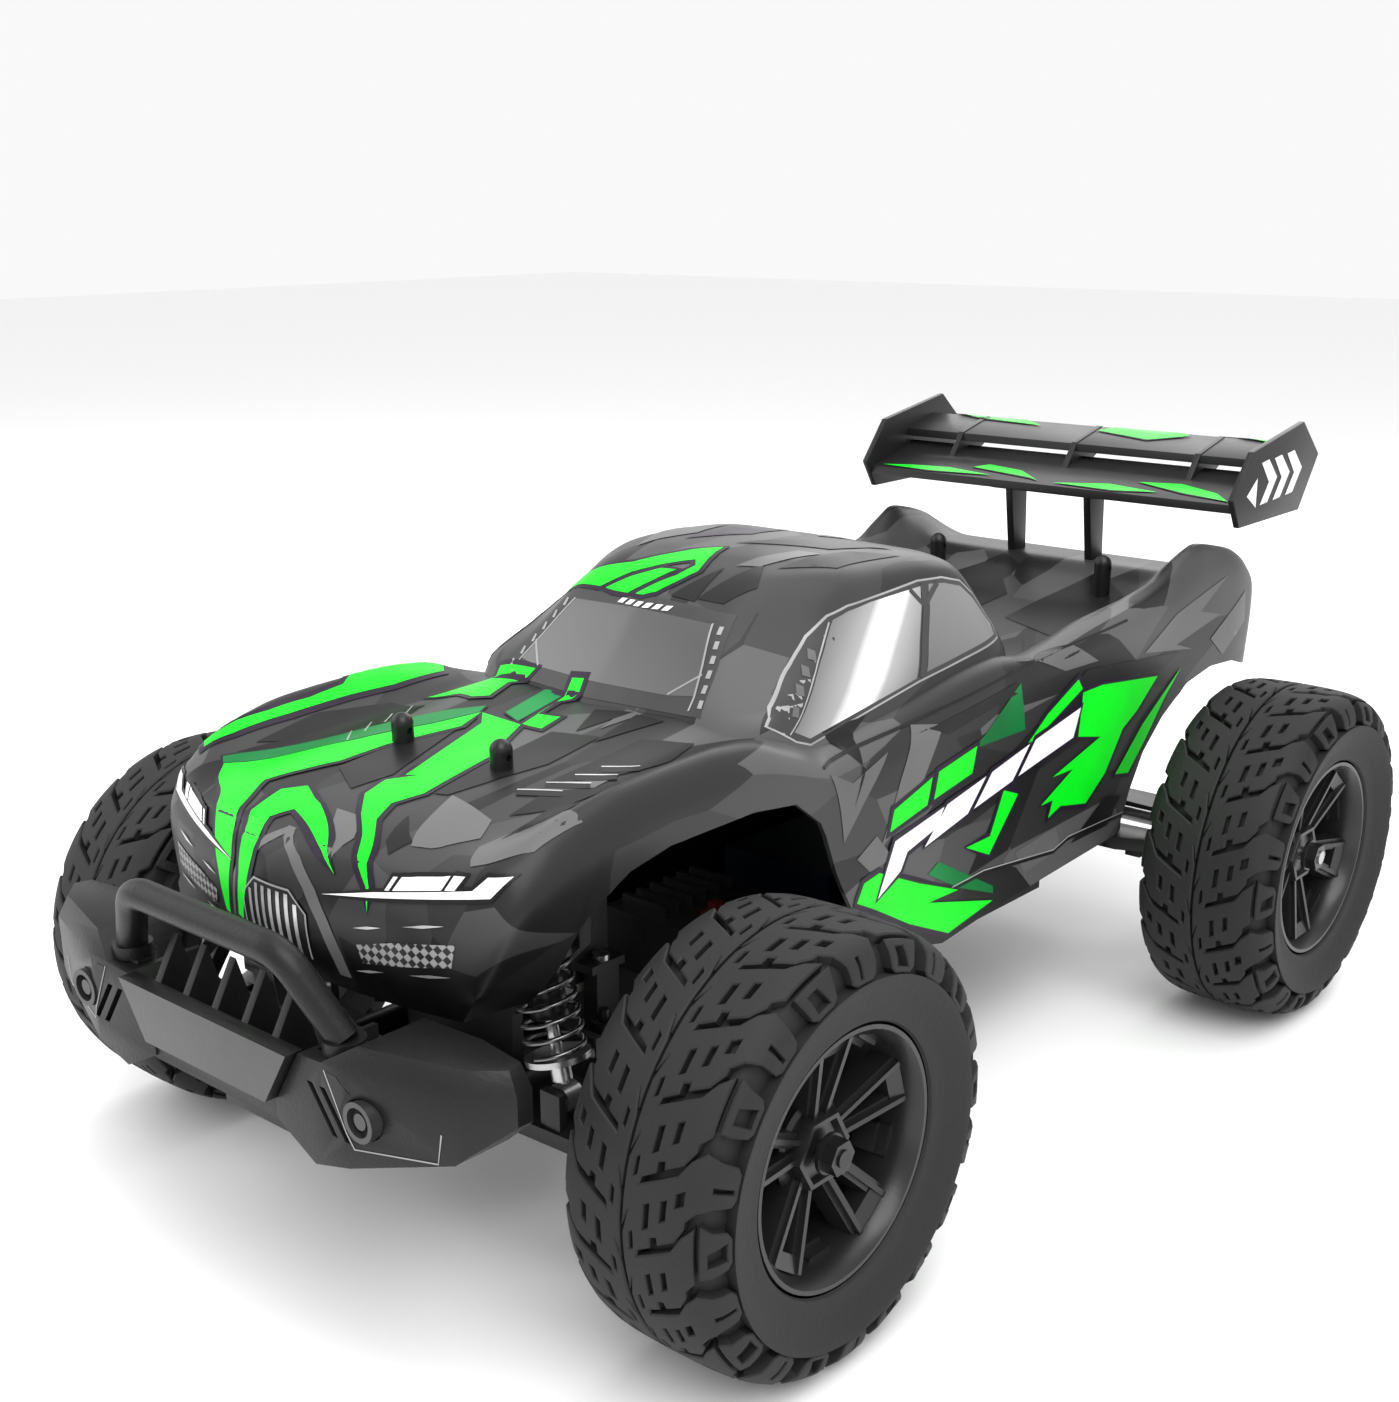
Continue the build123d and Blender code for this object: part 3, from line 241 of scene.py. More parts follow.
def camo_paint():
    """Satin charcoal with long angular shards in several greys, darkened by painted shade towards the nose's
    chin.
    """
    material, tree, bsdf = shader("painted_shell")
    coords = tree.nodes.new("ShaderNodeTexCoord")
    stretch = tree.nodes.new("ShaderNodeMapping")
    stretch.inputs["Rotation"].default_value = (radians(38.0), radians(12.0), radians(28.0))
    stretch.inputs["Scale"].default_value = (85.0, 22.0, 70.0)
    tree.links.new(coords.outputs["Object"], stretch.inputs["Vector"])
    cells = add_node(tree, "ShaderNodeTexVoronoi", Scale=1.0, Randomness=1.0)
    tree.links.new(stretch.outputs["Vector"], cells.inputs["Vector"])
    split = tree.nodes.new("ShaderNodeSeparateColor")
    tree.links.new(cells.outputs["Color"], split.inputs["Color"])
    tones = tree.nodes.new("ShaderNodeValToRGB")
    tones.color_ramp.interpolation = "CONSTANT"
    elements = tones.color_ramp.elements
    while len(elements) < len(CAMO_TONES):
        elements.new(0.5)
    for element, (place, value) in zip(elements, CAMO_TONES):
        element.position = place
        element.color = (value, value, value * 1.02, 1.0)
    tree.links.new(split.outputs["Red"], tones.inputs["Fac"])
    # Painted shade: the colour darkens low down, most of all under the nose's chin.
    chin = axis_gradient(tree, (0.0, 0.35, 1.0), [(0.0, grey(0.08)), (1.0, grey(1.0))], 26.0, 62.0)
    shade = multiplied(tree, tones.outputs["Color"], chin, 1.0)
    tree.links.new(shade, bsdf.inputs["Base Color"])
    cloud = noise(tree, object_space(tree), Scale=30.0, Detail=5.0)
    uneven_gloss(tree, bsdf, cloud.outputs["Fac"], 0.3, 0.42)
    bsdf.inputs["Specular IOR Level"].default_value = 0.22
    return material


# Painted reflection: a bright band across the printed side windows, running along this direction, set by the
# stops below.
WINDOW_ACROSS = (0, 0.596, -0.803)
WINDOW_REFLECTION_STOPS = [
    (0.0, grey(0.16)), (0.3, grey(0.34)), (0.42, grey(0.9)), (0.56, grey(0.95)),
    (0.66, grey(0.36)), (1.0, grey(0.12)),
]
REAR_STOPS = [(0.0, grey(0.11)), (1.0, grey(0.2))]
SCREEN_STOPS = [(0.0, grey(0.13)), (1.0, grey(0.075))]
MATERIALS.update({
    "painted_shell": camo_paint(),
    "print_green": sheen("print_green", (0.0, 0.78, 0.012), contrast=0.12),
    "print_tint": sheen("print_tint", (0.0, 0.17, 0.035), contrast=0.5, scale=25.0),
    "print_dark": sheen("print_dark", (0.014, 0.006, 0.02), contrast=0.3),
    # Black print, also used as painted shade in the hood vents, body creases and bed slots.
    "print_black": sheen("print_black", grey(0.008), contrast=0.4),
    "print_light": sheen("print_light", grey(0.11), contrast=0.25, scale=20.0),
    "print_white": sheen("print_white", grey(0.85), contrast=0.05),
    # Grey line print, also used as a painted highlight just above the rocker crease.
    "print_line": sheen("print_line", grey(0.3), contrast=0.3),
    "print_frame": sheen("print_frame", grey(0.045), contrast=0.2),
    # Silver print, also used as a painted highlight along the lips of the hood vents.
    "print_silver": sheen("print_silver", grey(0.55), contrast=0.35, scale=200.0, metal=0.6),
    "print_mesh": mesh_print(),
    # Side window print with its painted reflection band.
    "print_pane": window_print_and_reflection("print_pane", WINDOW_ACROSS, WINDOW_REFLECTION_STOPS, -129.0, -100.0),
    "print_rear_pane": window_print_and_reflection("print_rear_pane", (0.0, 0.4, 0.9), REAR_STOPS, 105.0, 140.0),
    "print_screen": window_print_and_reflection("print_screen", (0.4, 0.0, 0.9), SCREEN_STOPS, 105.0, 130.0),
})


def finish_nodes():
    """Give every CAD node the material of its slot."""
    slots = {s["node"]: s["material_slot"] for s in frame["record"]["subparts"]}
    for name, node in frame["nodes"].items():
        material = MATERIALS["dark_steel" if name.endswith("_nut") else slots[name]]
        node.data.materials.clear()
        node.data.materials.append(material)


# ------------------------------------------------------------------ mesh helpers
def mesh_piece(name, verts, faces, material, body, smooth=35.0):
    """Object from millimetre vertices and faces, riding on a body."""
    mesh = bpy.data.meshes.new(name)
    mesh.from_pydata([Vector(v) * MM for v in verts], [], faces)
    mesh.materials.append(material)
    piece = bpy.data.objects.new(name, mesh)
    bpy.context.scene.collection.objects.link(piece)
    tidy_mesh(piece, smooth)
    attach(piece, body)
    return piece


def tidy_mesh(piece, smooth):
    """Merge doubles, make the normals consistent and shade smooth up to an angle."""
    bm = bmesh.new()
    bm.from_mesh(piece.data)
    bmesh.ops.remove_doubles(bm, verts=bm.verts, dist=1e-5)
    bmesh.ops.recalc_face_normals(bm, faces=bm.faces)
    bm.to_mesh(piece.data)
    bm.free()
    set_smooth(piece, smooth)


def set_smooth(piece, angle):
    """Smooth shading with sharp edges above the angle, in degrees."""
    mesh = piece.data
    for polygon in mesh.polygons:
        polygon.use_smooth = True
    bm = bmesh.new()
    bm.from_mesh(mesh)
    for edge in bm.edges:
        flat = len(edge.link_faces) == 2 and edge.calc_face_angle(0.0) < radians(angle)
        edge.smooth = flat
    bm.to_mesh(mesh)
    bm.free()


def grid_faces(rows, columns, start=0, closed=False):
    """Quads of a grid of points stored row by row."""
    faces = []
    last = columns if closed else columns - 1
    for r in range(rows - 1):
        for c in range(last):
            d = (c + 1) % columns
            faces.append((start + r * columns + c, start + r * columns + d,
                          start + (r + 1) * columns + d, start + (r + 1) * columns + c))
    return faces


def monotone(xs, ys, x):
    """Smooth interpolation through points that never overshoots them."""
    if x <= xs[0]:
        return ys[0]
    if x >= xs[-1]:
        return ys[-1]
    steps = [xs[i + 1] - xs[i] for i in range(len(xs) - 1)]
    slopes = [(ys[i + 1] - ys[i]) / steps[i] for i in range(len(steps))]
    tangents = [slopes[0]]
    for i in range(1, len(slopes)):
        a, b = slopes[i - 1], slopes[i]
        if a * b <= 0:
            tangents.append(0.0)
            continue
        w1, w2 = 2 * steps[i] + steps[i - 1], steps[i] + 2 * steps[i - 1]
        tangents.append((w1 + w2) / (w1 / a + w2 / b))
    tangents.append(slopes[-1])
    i = next(k for k in range(len(steps)) if x <= xs[k + 1])
    t = (x - xs[i]) / steps[i]
    h = steps[i]
    return ((1 + 2 * t) * (1 - t) ** 2 * ys[i] + t * (1 - t) ** 2 * h * tangents[i]
            + t * t * (3 - 2 * t) * ys[i + 1] + t * t * (t - 1) * h * tangents[i + 1])


def rounded(points, radii, samples=5):
    """Open polyline with its inner corners rounded, always with the same number of points."""
    result = [Vector(points[0])]
    for i in range(1, len(points) - 1):
        before, here, after = (Vector(points[k]) for k in (i - 1, i, i + 1))
        into, out = before - here, after - here
        reach_in = min(radii[i], into.length * 0.48)
        reach_out = min(radii[i], out.length * 0.48)
        a = here + into.normalized() * reach_in
        b = here + out.normalized() * reach_out
        for k in range(samples):
            t = k / (samples - 1)
            result.append(a * (1 - t) ** 2 + here * 2 * t * (1 - t) + b * t * t)
    result.append(Vector(points[-1]))
    return result


def resampled(points, count):
    """Points at equal steps along a polyline."""
    lengths = [0.0]
    for a, b in zip(points, points[1:]):
        lengths.append(lengths[-1] + (b - a).length)
    result = []
    k = 0
    for i in range(count):
        target = lengths[-1] * i / (count - 1)
        while k < len(points) - 2 and lengths[k + 1] < target:
            k += 1
        span = lengths[k + 1] - lengths[k]
        t = (target - lengths[k]) / span if span > 0 else 0.0
        result.append(points[k].lerp(points[k + 1], min(1.0, max(0.0, t))))
    return result


# ------------------------------------------------------------------ body shell
# Half cross-sections of the lower body from nose to tail. Each row is: place along the body,
# centre height, then x, z of the hood ridge, the valley beside it, the fender crest, the shoulder,
# the waist and the lower edge's line.
SECTIONS = (
    (-167, 110, (24, 109.8), (40, 108), (55.5, 111.4), (60, 107.4), (60.4, 100), (50, 80)),
    (-158, 112.4, (25, 112.4), (42, 110.4), (56.6, 116.4), (61.4, 111.4), (62, 101), (51, 79)),
    (-145, 114, (26, 114.2), (43, 111.6), (57, 120.2), (62, 114.4), (62.8, 103), (54, 79)),
    (-125, 115.5, (27.5, 116), (43.5, 113), (57, 122.8), (62.4, 116.4), (63, 104), (58, 75)),
    (-95, 117.4, (29.5, 118), (43, 115), (56.8, 123.8), (62.3, 117), (63, 105), (60.5, 70)),
    (-80, 118.8, (31, 119.4), (43, 116.4), (56.6, 122.4), (62, 116), (62.8, 104), (60.5, 66)),
    (-66, 120, (32, 120.4), (43, 117), (56.6, 117.2), (61.6, 112), (62.6, 102), (60.5, 60)),
    (-50, 120, (34, 120), (45, 115), (54.5, 112), (60.6, 107.6), (62, 96), (60, 50)),
    (-20, 120, (34, 120), (45, 117), (54.5, 114.8), (60.2, 110), (61.6, 94), (59.5, 47)),
    (25, 120, (34, 120), (45, 120), (55, 120.6), (59.8, 116.6), (61.2, 96), (59, 47)),
    (41.8, 114, (34, 114), (47.5, 117), (57.5, 118.8), (60.2, 116), (61, 96), (59, 48)),
    (42.2, 101.5, (44, 101.5), (47.5, 117), (57.5, 118.8), (60.2, 116), (61, 96), (59, 48)),
    (77, 104, (44, 104), (47.5, 121.4), (57.5, 123), (60.5, 119.6), (61, 98), (59, 50)),
    (100, 110.5, (44, 110.5), (48, 123), (56.5, 125.4), (60.4, 121.6), (61, 100), (59, 52)),
    (118, 116, (44.5, 116), (48.5, 124.6), (55.8, 129.4), (60.2, 124), (61.2, 104), (59, 60)),
    (127, 118.4, (45, 118.4), (49, 128), (56, 134.6), (60.4, 127.4), (61.4, 106), (59.5, 70)),
    (136, 121, (45, 121), (49.5, 129.8), (56.9, 138), (60.8, 130), (61.6, 107), (60, 80)),
    (146.5, 124.4, (45.5, 124.4), (50, 128.6), (58, 136), (61.4, 129.4), (61.8, 107), (60, 80)),
    (157, 124.4, (45.5, 124.4), (50, 126.4), (59, 132.8), (61.8, 127.6), (61.8, 106), (60, 80)),
    (170, 122, (45.5, 122), (50, 122.6), (58.4, 124.6), (60.8, 120.6), (61, 104), (59, 80)),
    (176.5, 118.4, (45, 118.4), (49, 118.4), (56.6, 118.6), (58.6, 116.4), (58.6, 104), (57, 80)),
)
SECTION_RADII = (0, 6, 6, 4.5, 5, 14, 0)
BOW = 13.5
CHIN = 5.0
BOW_FADE = (-167, -105)
LOWER_EDGE = (
    (-181, 79), (-147, 78.5), (-143.5, 84), (-141, 92), (-136, 99), (-127, 104.6), (-114, 107),
    (-86, 107.2), (-70, 105), (-59, 97), (-52, 82), (-44, 70), (-30, 60), (-14, 50.5), (0, 47.2),
    (32, 50), (94, 53), (97.5, 58), (100, 66), (106, 77), (116, 86), (130, 94), (145, 96.6),
    (160, 95.6), (169, 93), (177, 91.5),
)


def smooth_step(start, end, value):
    """0 before start, 1 after end, and a smooth ramp between."""
    t = min(1.0, max(0.0, (value - start) / (end - start)))
    return t * t * (3 - 2 * t)


def bow(x, z, place):
    """How far the front curves back from the centre line, less how far the chin stands forward."""
    back = BOW * (abs(x) / 60.0) ** 2.2
    forward = CHIN * (1 - smooth_step(99.0, 112.0, z))
    return (back - forward) * (1 - smooth_step(*BOW_FADE, place))


def half_section(place):
    """Rounded half outline at a place along the body: top part to the crest, then the side part."""
    keys = [row[0] for row in SECTIONS]
    points = [(0.0, monotone(keys, [row[1] for row in SECTIONS], place))]
    for column in range(2, 8):
        x = monotone(keys, [row[column][0] for row in SECTIONS], place)
        z = monotone(keys, [row[column][1] for row in SECTIONS], place)
        points.append((x, z))
    outline = rounded(points, SECTION_RADII)
    crest = 3 * 5 - 2
    top, side = outline[:crest], outline[crest - 1:]
    return top, side


def edge_height(y):
    """Height of the shell's lower edge in the side view."""
    for (y0, z0), (y1, z1) in zip(LOWER_EDGE, LOWER_EDGE[1:]):
        if y0 <= y <= y1:
            return z0 + (z1 - z0) * (y - y0) / (y1 - y0)
    return LOWER_EDGE[-1][1]


def clipped(side, place):
    """Side outline cut off at the lower edge."""
    kept = [side[0]]
    for point in side[1:]:
        limit = edge_height(place + bow(point.x, point.y, place))
        if point.y < limit:
            last = kept[-1]
            t = (last.y - limit) / max(1e-6, last.y - point.y)
            kept.append(last.lerp(point, min(1.0, max(0.02, t))))
            return kept
        kept.append(point)
    last, before = kept[-1], kept[-2]
    limit = edge_height(place)
    direction = (last - before).normalized()
    if direction.y < 0 and last.y > limit:
        kept.append(last + direction * ((last.y - limit) / -direction.y))
    return kept


TOP_POINTS = 26
SIDE_POINTS = 22


def body_rows():
    """Half rows of the body surface as 3-D points, from nose to tail."""
    places = [-167.0 + k * 2.0 for k in range(0, 36)]
    places += [-95.0 + k * 2.5 for k in range(0, 54)]
    places += [41.8, 42.2] + [44.0 + k * 2.0 for k in range(0, 67)] + [176.5]
    rows = []
    for place in places:
        top, side = half_section(place)
        outline = resampled(top, TOP_POINTS) + resampled(clipped(side, place), SIDE_POINTS)[1:]
        rows.append([Vector((p.x, place + bow(p.x, p.y, place), p.y)) for p in outline])
    return rows


def coons(top, right, bottom, left):
    """Patch between four edge curves that share their corners."""
    rows = []
    count_u, count_v = len(top), len(right)
    for j in range(count_v):
        v = j / (count_v - 1)
        row = []
        for i in range(count_u):
            u = i / (count_u - 1)
            ruled_v = top[i] * (1 - v) + bottom[i] * v
            ruled_u = left[j] * (1 - u) + right[j] * u
            corners = (top[0] * (1 - u) * (1 - v) + top[-1] * u * (1 - v)
                       + bottom[0] * (1 - u) * v + bottom[-1] * u * v)
            row.append(ruled_v + ruled_u - corners)
        rows.append(row)
    return rows


def nose_rows(first):
    """Front face between the first body row, the corner edges and the lower edge."""
    top, right = first[:TOP_POINTS], first[TOP_POINTS - 1:]
    centre = rounded([(first[0].y, first[0].z), (-171.6, 107.6), (-173.4, 96.0), (-172.4, 86.0),
                      (-169.0, 79.0)], (0, 5.0, 8.0, 8.0, 0))
    left = [Vector((0, p.x, p.y)) for p in resampled(centre, SIDE_POINTS)]
    end = right[-1]
    bottom = []
    for i in range(TOP_POINTS):
        u = i / (TOP_POINTS - 1)
        x = end.x * u
        y = left[-1].y + (end.y - left[-1].y) * u ** 2.2
        bottom.append(Vector((x, y, left[-1].z + (end.z - left[-1].z) * u)))
    return coons(top, right, bottom, left)


def tail_rows(last):
    """Rear panel under the last body row."""
    top, right = last[:TOP_POINTS], last[TOP_POINTS - 1:]
    left = []
    for k in range(SIDE_POINTS):
        bulge = 0.5 * sin(pi * k / (SIDE_POINTS - 1))
        drop = (right[-1].z - last[0].z) * k / (SIDE_POINTS - 1)
        left.append(Vector((0, last[0].y + bulge, last[0].z + drop)))
    bottom = [left[-1].lerp(right[-1], i / (TOP_POINTS - 1)) for i in range(TOP_POINTS)]
    return coons(top, right, bottom, left)


# Half plan outlines of the cab at several heights: z, front centre y, windscreen corner, pillar,
# side rear, rear corner, rear centre y.
CAB = (
    (108, -83, (36.5, -78.5), (54, -64), (55, 32), (52, 42), 42.6),
    (120.5, -74.5, (34.8, -71.5), (50.5, -62.5), (53.2, 30), (49.6, 40.8), 41.6),
    (130, -65.5, (31.2, -62.4), (46.4, -46), (47.6, 28), (44.6, 38.6), 39.6),
    (139.5, -56, (27.8, -52.8), (42, -30), (42.2, 24), (40.4, 35.6), 36.6),
    (144.6, -47.5, (25.8, -44.5), (39.8, -25), (39.8, 21), (37.4, 32), 33.4),
    (147.8, -40, (23.5, -37), (36.6, -21.5), (36.2, 17), (32.5, 26), 28),
    (150.4, -30, (18, -28), (29, -17), (28, 9), (24, 14), 15),
)
ROOF_DROOP = 1.8
CAB_RADII = (0, 4, 8, 7, 6, 0)


def cab_ring(z):
    """Half ring of the cab at a height, from the front centre to the rear centre."""
    keys = [row[0] for row in CAB]
    points = [(0.0, monotone(keys, [row[1] for row in CAB], z))]
    for column in range(2, 6):
        x = monotone(keys, [row[column][0] for row in CAB], z)
        y = monotone(keys, [row[column][1] for row in CAB], z)
        points.append((x, y))
    points.append((0.0, monotone(keys, [row[6] for row in CAB], z)))
    ring = []
    for p in resampled(rounded(points, CAB_RADII), 56):
        droop = ROOF_DROOP * smooth_step(-15.0, 34.0, p.y) * smooth_step(122.0, 146.0, z)
        ring.append(Vector((p.x, p.y, z - droop)))
    return ring


def cab_rows():
    """Half rings of the cab from its base to the middle of the roof."""
    heights = [108.0 + 1.5 * k for k in range(25)]
    heights += [144.8, 145.6, 146.4, 147.2, 147.8, 148.4, 149.0, 149.6, 150.0, 150.4]
    rows = [cab_ring(z) for z in heights]
    crown = Vector((0, -10.0, 151.8))
    for share in (0.8, 0.6, 0.4, 0.2):
        lift = Vector((0, 0, 1.4 * (1 - share * share) - 1.4 * (1 - share)))
        rows.append([crown.lerp(p, share) + lift for p in rows[len(heights) - 1]])
    rows.append([crown.copy() for _ in rows[0]])
    return rows


def mirrored(rows):
    """Full rows from half rows, left side first, without doubling the centre."""
    return [[Vector((-p.x, p.y, p.z)) for p in reversed(row)] + list(row)[1:] for row in rows]


def skin(parts):
    """Vertices and faces of several half surfaces, with their mirror images."""
    verts, faces = [], []
    for rows in parts:
        full = mirrored(rows)
        faces += grid_faces(len(full), len(full[0]), len(verts))
        verts += [p for row in full for p in row]
    return verts, faces


def soften(piece, region, factor, rounds):
    """Relax the vertices of a region, which rounds the edges in it."""
    bm = bmesh.new()
    bm.from_mesh(piece.data)
    chosen = [v for v in bm.verts if region(v.co / MM) and not v.is_boundary]
    for _ in range(rounds):
        bmesh.ops.smooth_vert(bm, verts=chosen, factor=factor,
                              use_axis_x=True, use_axis_y=True, use_axis_z=True)
    bm.to_mesh(piece.data)
    bm.free()


def body_shell():
    """One-piece shell: lower body, nose and tail in one skin, and the cab on top of it."""
    rows = body_rows()
    verts, faces = skin([rows, nose_rows(rows[0]), tail_rows(rows[-1])])
    lower = mesh_piece("shell_body", verts, faces, MATERIALS["painted_shell"], "shell", smooth=50.0)
    soften(lower, lambda p: p.y < -150.0 and p.z > 84.0, 0.5, 6)
    soften(lower, lambda p: p.y > 172.0 and p.z > 96.0, 0.5, 3)
    set_smooth(lower, 40.0)
    verts, faces = skin([cab_rows()])
    upper = mesh_piece("shell_cab", verts, faces, MATERIALS["painted_shell"], "shell", smooth=40.0)
    for piece in (lower, upper):
        thickness = piece.modifiers.new("wall", "SOLIDIFY")
        thickness.thickness = 1.3 * MM
        thickness.offset = -1.0
    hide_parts("body_shell")
    return lower, upper


# ------------------------------------------------------------------ printed livery
WRAP_R = 12.0
WRAP_Y = -155.0
WRAP_Z = 104.0
FAR = 200.0


def ray_top(u, v):
    """Ray for a point of the hood, bent over the nose's top edge and down its front."""
    quarter = WRAP_R * pi / 2
    if v >= WRAP_Y:
        return Vector((u, v, FAR)), Vector((0, 0, -1))
    if v < WRAP_Y - quarter:
        return Vector((u, -FAR - 40.0, WRAP_Z - (WRAP_Y - quarter - v))), Vector((0, 1, 0))
    turn = (WRAP_Y - v) / WRAP_R
    out = Vector((0, -sin(turn), cos(turn)))
    return Vector((u, WRAP_Y, WRAP_Z)) + out * 60.0, -out


def ray_front(u, v):
    """Ray for a point of the front view."""
    return Vector((u, -FAR - 40.0, v)), Vector((0, 1, 0))


def ray_left(u, v):
    """Ray for a point of the left side view."""
    return Vector((FAR, u, v)), Vector((-1, 0, 0))


def ray_right(u, v):
    """Ray for a point of the right side view."""
    return Vector((-FAR, u, v)), Vector((1, 0, 0))


def inside(point, polygon):
    """Whether a point lies within a polygon."""
    result = False
    for (x0, y0), (x1, y1) in zip(polygon, polygon[1:] + polygon[:1]):
        if (y0 > point[1]) != (y1 > point[1]):
            if point[0] < x0 + (x1 - x0) * (point[1] - y0) / (y1 - y0):
                result = not result
    return result


def divided(polygon, step):
    """Polygon with extra points along its edges."""
    result = []
    for (x0, y0), (x1, y1) in zip(polygon, polygon[1:] + polygon[:1]):
        count = max(1, round(hypot(x1 - x0, y1 - y0) / step))
        result += [(x0 + (x1 - x0) * k / count, y0 + (y1 - y0) * k / count) for k in range(count)]
    return result


def widened(polygon, amount):
    """Polygon with every corner pushed outward."""
    area = sum(x0 * y1 - x1 * y0 for (x0, y0), (x1, y1) in zip(polygon, polygon[1:] + polygon[:1]))
    turn = 1 if area > 0 else -1
    result = []
    for i, (x, y) in enumerate(polygon):
        ax, ay = polygon[i - 1]
        bx, by = polygon[(i + 1) % len(polygon)]
        into = Vector((x - ax, y - ay)).normalized()
        out = Vector((bx - x, by - y)).normalized()
        normal = Vector((into.y + out.y, -into.x - out.x)) * turn
        size = max(0.7, normal.length ** 2 / 2)
        result.append((x + normal.x * amount / size, y + normal.y * amount / size))
    return result


def ribbon(points, width):
    """Polygon along an open line."""
    left, right = [], []
    for i, (x, y) in enumerate(points):
        ax, ay = points[max(0, i - 1)]
        bx, by = points[min(len(points) - 1, i + 1)]
        along = Vector((bx - ax, by - ay)).normalized()
        left.append((x - along.y * width / 2, y + along.x * width / 2))
        right.append((x + along.y * width / 2, y - along.x * width / 2))
    return left + right[::-1]


def flat_triangles(polygon, step):
    """Fine triangles that fill a polygon."""
    edge = divided(polygon, step)
    xs, ys = [p[0] for p in edge], [p[1] for p in edge]
    filling = []
    rows = int((max(ys) - min(ys)) / step) + 1
    columns = int((max(xs) - min(xs)) / step) + 1
    for r in range(rows):
        for c in range(columns):
            x = min(xs) + (c + 0.5 * (r % 2)) * step + 0.31 * step
            point = (x, min(ys) + (r + 0.43) * step)
            if inside(point, edge):
                filling.append(point)
    points = [Vector(p) for p in edge + filling]
    result = delaunay_2d_cdt(points, [], [list(range(len(edge)))], 1, 1e-4)
    return result[0], result[2]


class Livery:
    """Printed shapes on the shell, gathered by material."""

    def __init__(self, pieces):
        verts, faces = [], []
        for piece in pieces:
            start = len(verts)
            verts += [v.co / MM for v in piece.data.vertices]
            faces += [[start + k for k in p.vertices] for p in piece.data.polygons]
        self.tree = BVHTree.FromPolygons(verts, faces)
        self.batches = {}

    def print(self, material, polygon, ray, lift=0.2, step=2.2):
        """Add one polygon, laid on the shell along the rays."""
        points, triangles = flat_triangles(polygon, step)
        verts, known = self.batches.setdefault(material, ([], []))
        start = len(verts)
        placed = []
        for point in points:
            origin, direction = ray(point.x, point.y)
            spot, normal, _, _ = self.tree.ray_cast(origin, direction)
            if spot is None:
                placed.append(None)
                verts.append(Vector((0, 0, 100.0)))
                continue
            if normal.dot(direction) > 0:
                normal = -normal
            placed.append(spot)
            verts.append(spot + normal * lift)
        for triangle in triangles:
            spots = [placed[k] for k in triangle]
            if any(p is None for p in spots):
                continue
            reach = max((spots[k] - spots[k - 1]).length for k in range(len(spots)))
            if reach < step * 4:
                known.append([start + k for k in triangle])

    def shard(self, material, polygon, ray, outline=1.4):
        """Coloured shard with a dark outline under it."""
        self.print("print_dark", widened(polygon, outline), ray, 0.27)
        self.print(material, polygon, ray, 0.34)

    def finish(self, prefix="livery_", body="shell"):
        """One piece for each material."""
        for material, (verts, faces) in self.batches.items():
            used = sorted({k for face in faces for k in face})
            order = {k: i for i, k in enumerate(used)}
            renumbered = [[order[k] for k in face] for face in faces]
            mesh_piece(prefix + material.removeprefix("print_"), [verts[k] for k in used],
                       renumbered, MATERIALS[material], body, smooth=60.0)


# Hood stripes and nose claws: x, then distance along the hood and down the nose.
HOOD_SHARDS = (
    (
        (-8, -71.3), (-4, -71.2), (-3.2, -74), (-6, -79), (-4, -88), (2.5, -86.5), (4.5, -95),
        (-2, -95),
    ),
    (
        (-16, -95), (-2, -95.6), (2, -103.5), (9, -116), (14, -140.5), (12, -148), (15.6, -155.2),
        (24.5, -167.3), (27.3, -173.9), (27.6, -179), (26.6, -173.9), (18, -163.3), (10.3, -155),
        (2.5, -147.5), (0, -139.5), (4.5, -133), (1.5, -135), (-10.6, -100.4),
    ),
    (
        (-16.6, -95), (-13, -104.8), (-17.7, -124.3), (-18.4, -137.4), (-22, -146), (-25.6, -153.5),
        (-20, -167.2), (-17.2, -170.3), (-16.2, -176.2), (-18.7, -190.6), (-20.4, -190.2),
        (-22.5, -180.8), (-27, -169.6), (-38.2, -159.3), (-45, -151), (-27, -126), (-20, -108),
    ),
    (
        (-12.5, -190), (-14.4, -189.4), (-12.6, -179.3), (-12.8, -169.5), (-15.7, -167),
        (-17, -155.7), (-12.7, -151.4), (-1.9, -156.9), (12.5, -167.8), (18.2, -172.9),
        (13, -169.7), (1.9, -165.4), (-5.7, -162.5), (-8.8, -166.9), (-6.6, -170.6), (-7.6, -175.3),
        (-9.4, -181.3),
    ),
    (
        (-22.3, -70.2), (-23.7, -72.1), (-27.3, -75.3), (-23.8, -85.5), (-27.2, -88.2), (-33, -87),
        (-41, -91), (-35.7, -71.5), (-36, -69.6),
    ),
)
HOOD_TINTS = (
    (
        (-17, -95.2), (-20.5, -108), (-27.6, -126), (-45.4, -151), (-47.5, -149.5), (-40, -130),
        (-31, -112), (-24.5, -98), (-19, -91),
    ),
    ((-15, -74), (-8, -74.4), (-4.4, -94.2), (-11.5, -91.6)),
)
FENDER_SHARD = (
    (-50, -77.5), (-49.6, -95), (-50.5, -108.4), (-51, -127), (-52.3, -143), (-54, -150),
    (-56.6, -148), (-53.6, -131), (-53, -119), (-53.6, -108), (-57.5, -101), (-60, -90), (-58, -80),
    (-53, -75),
)
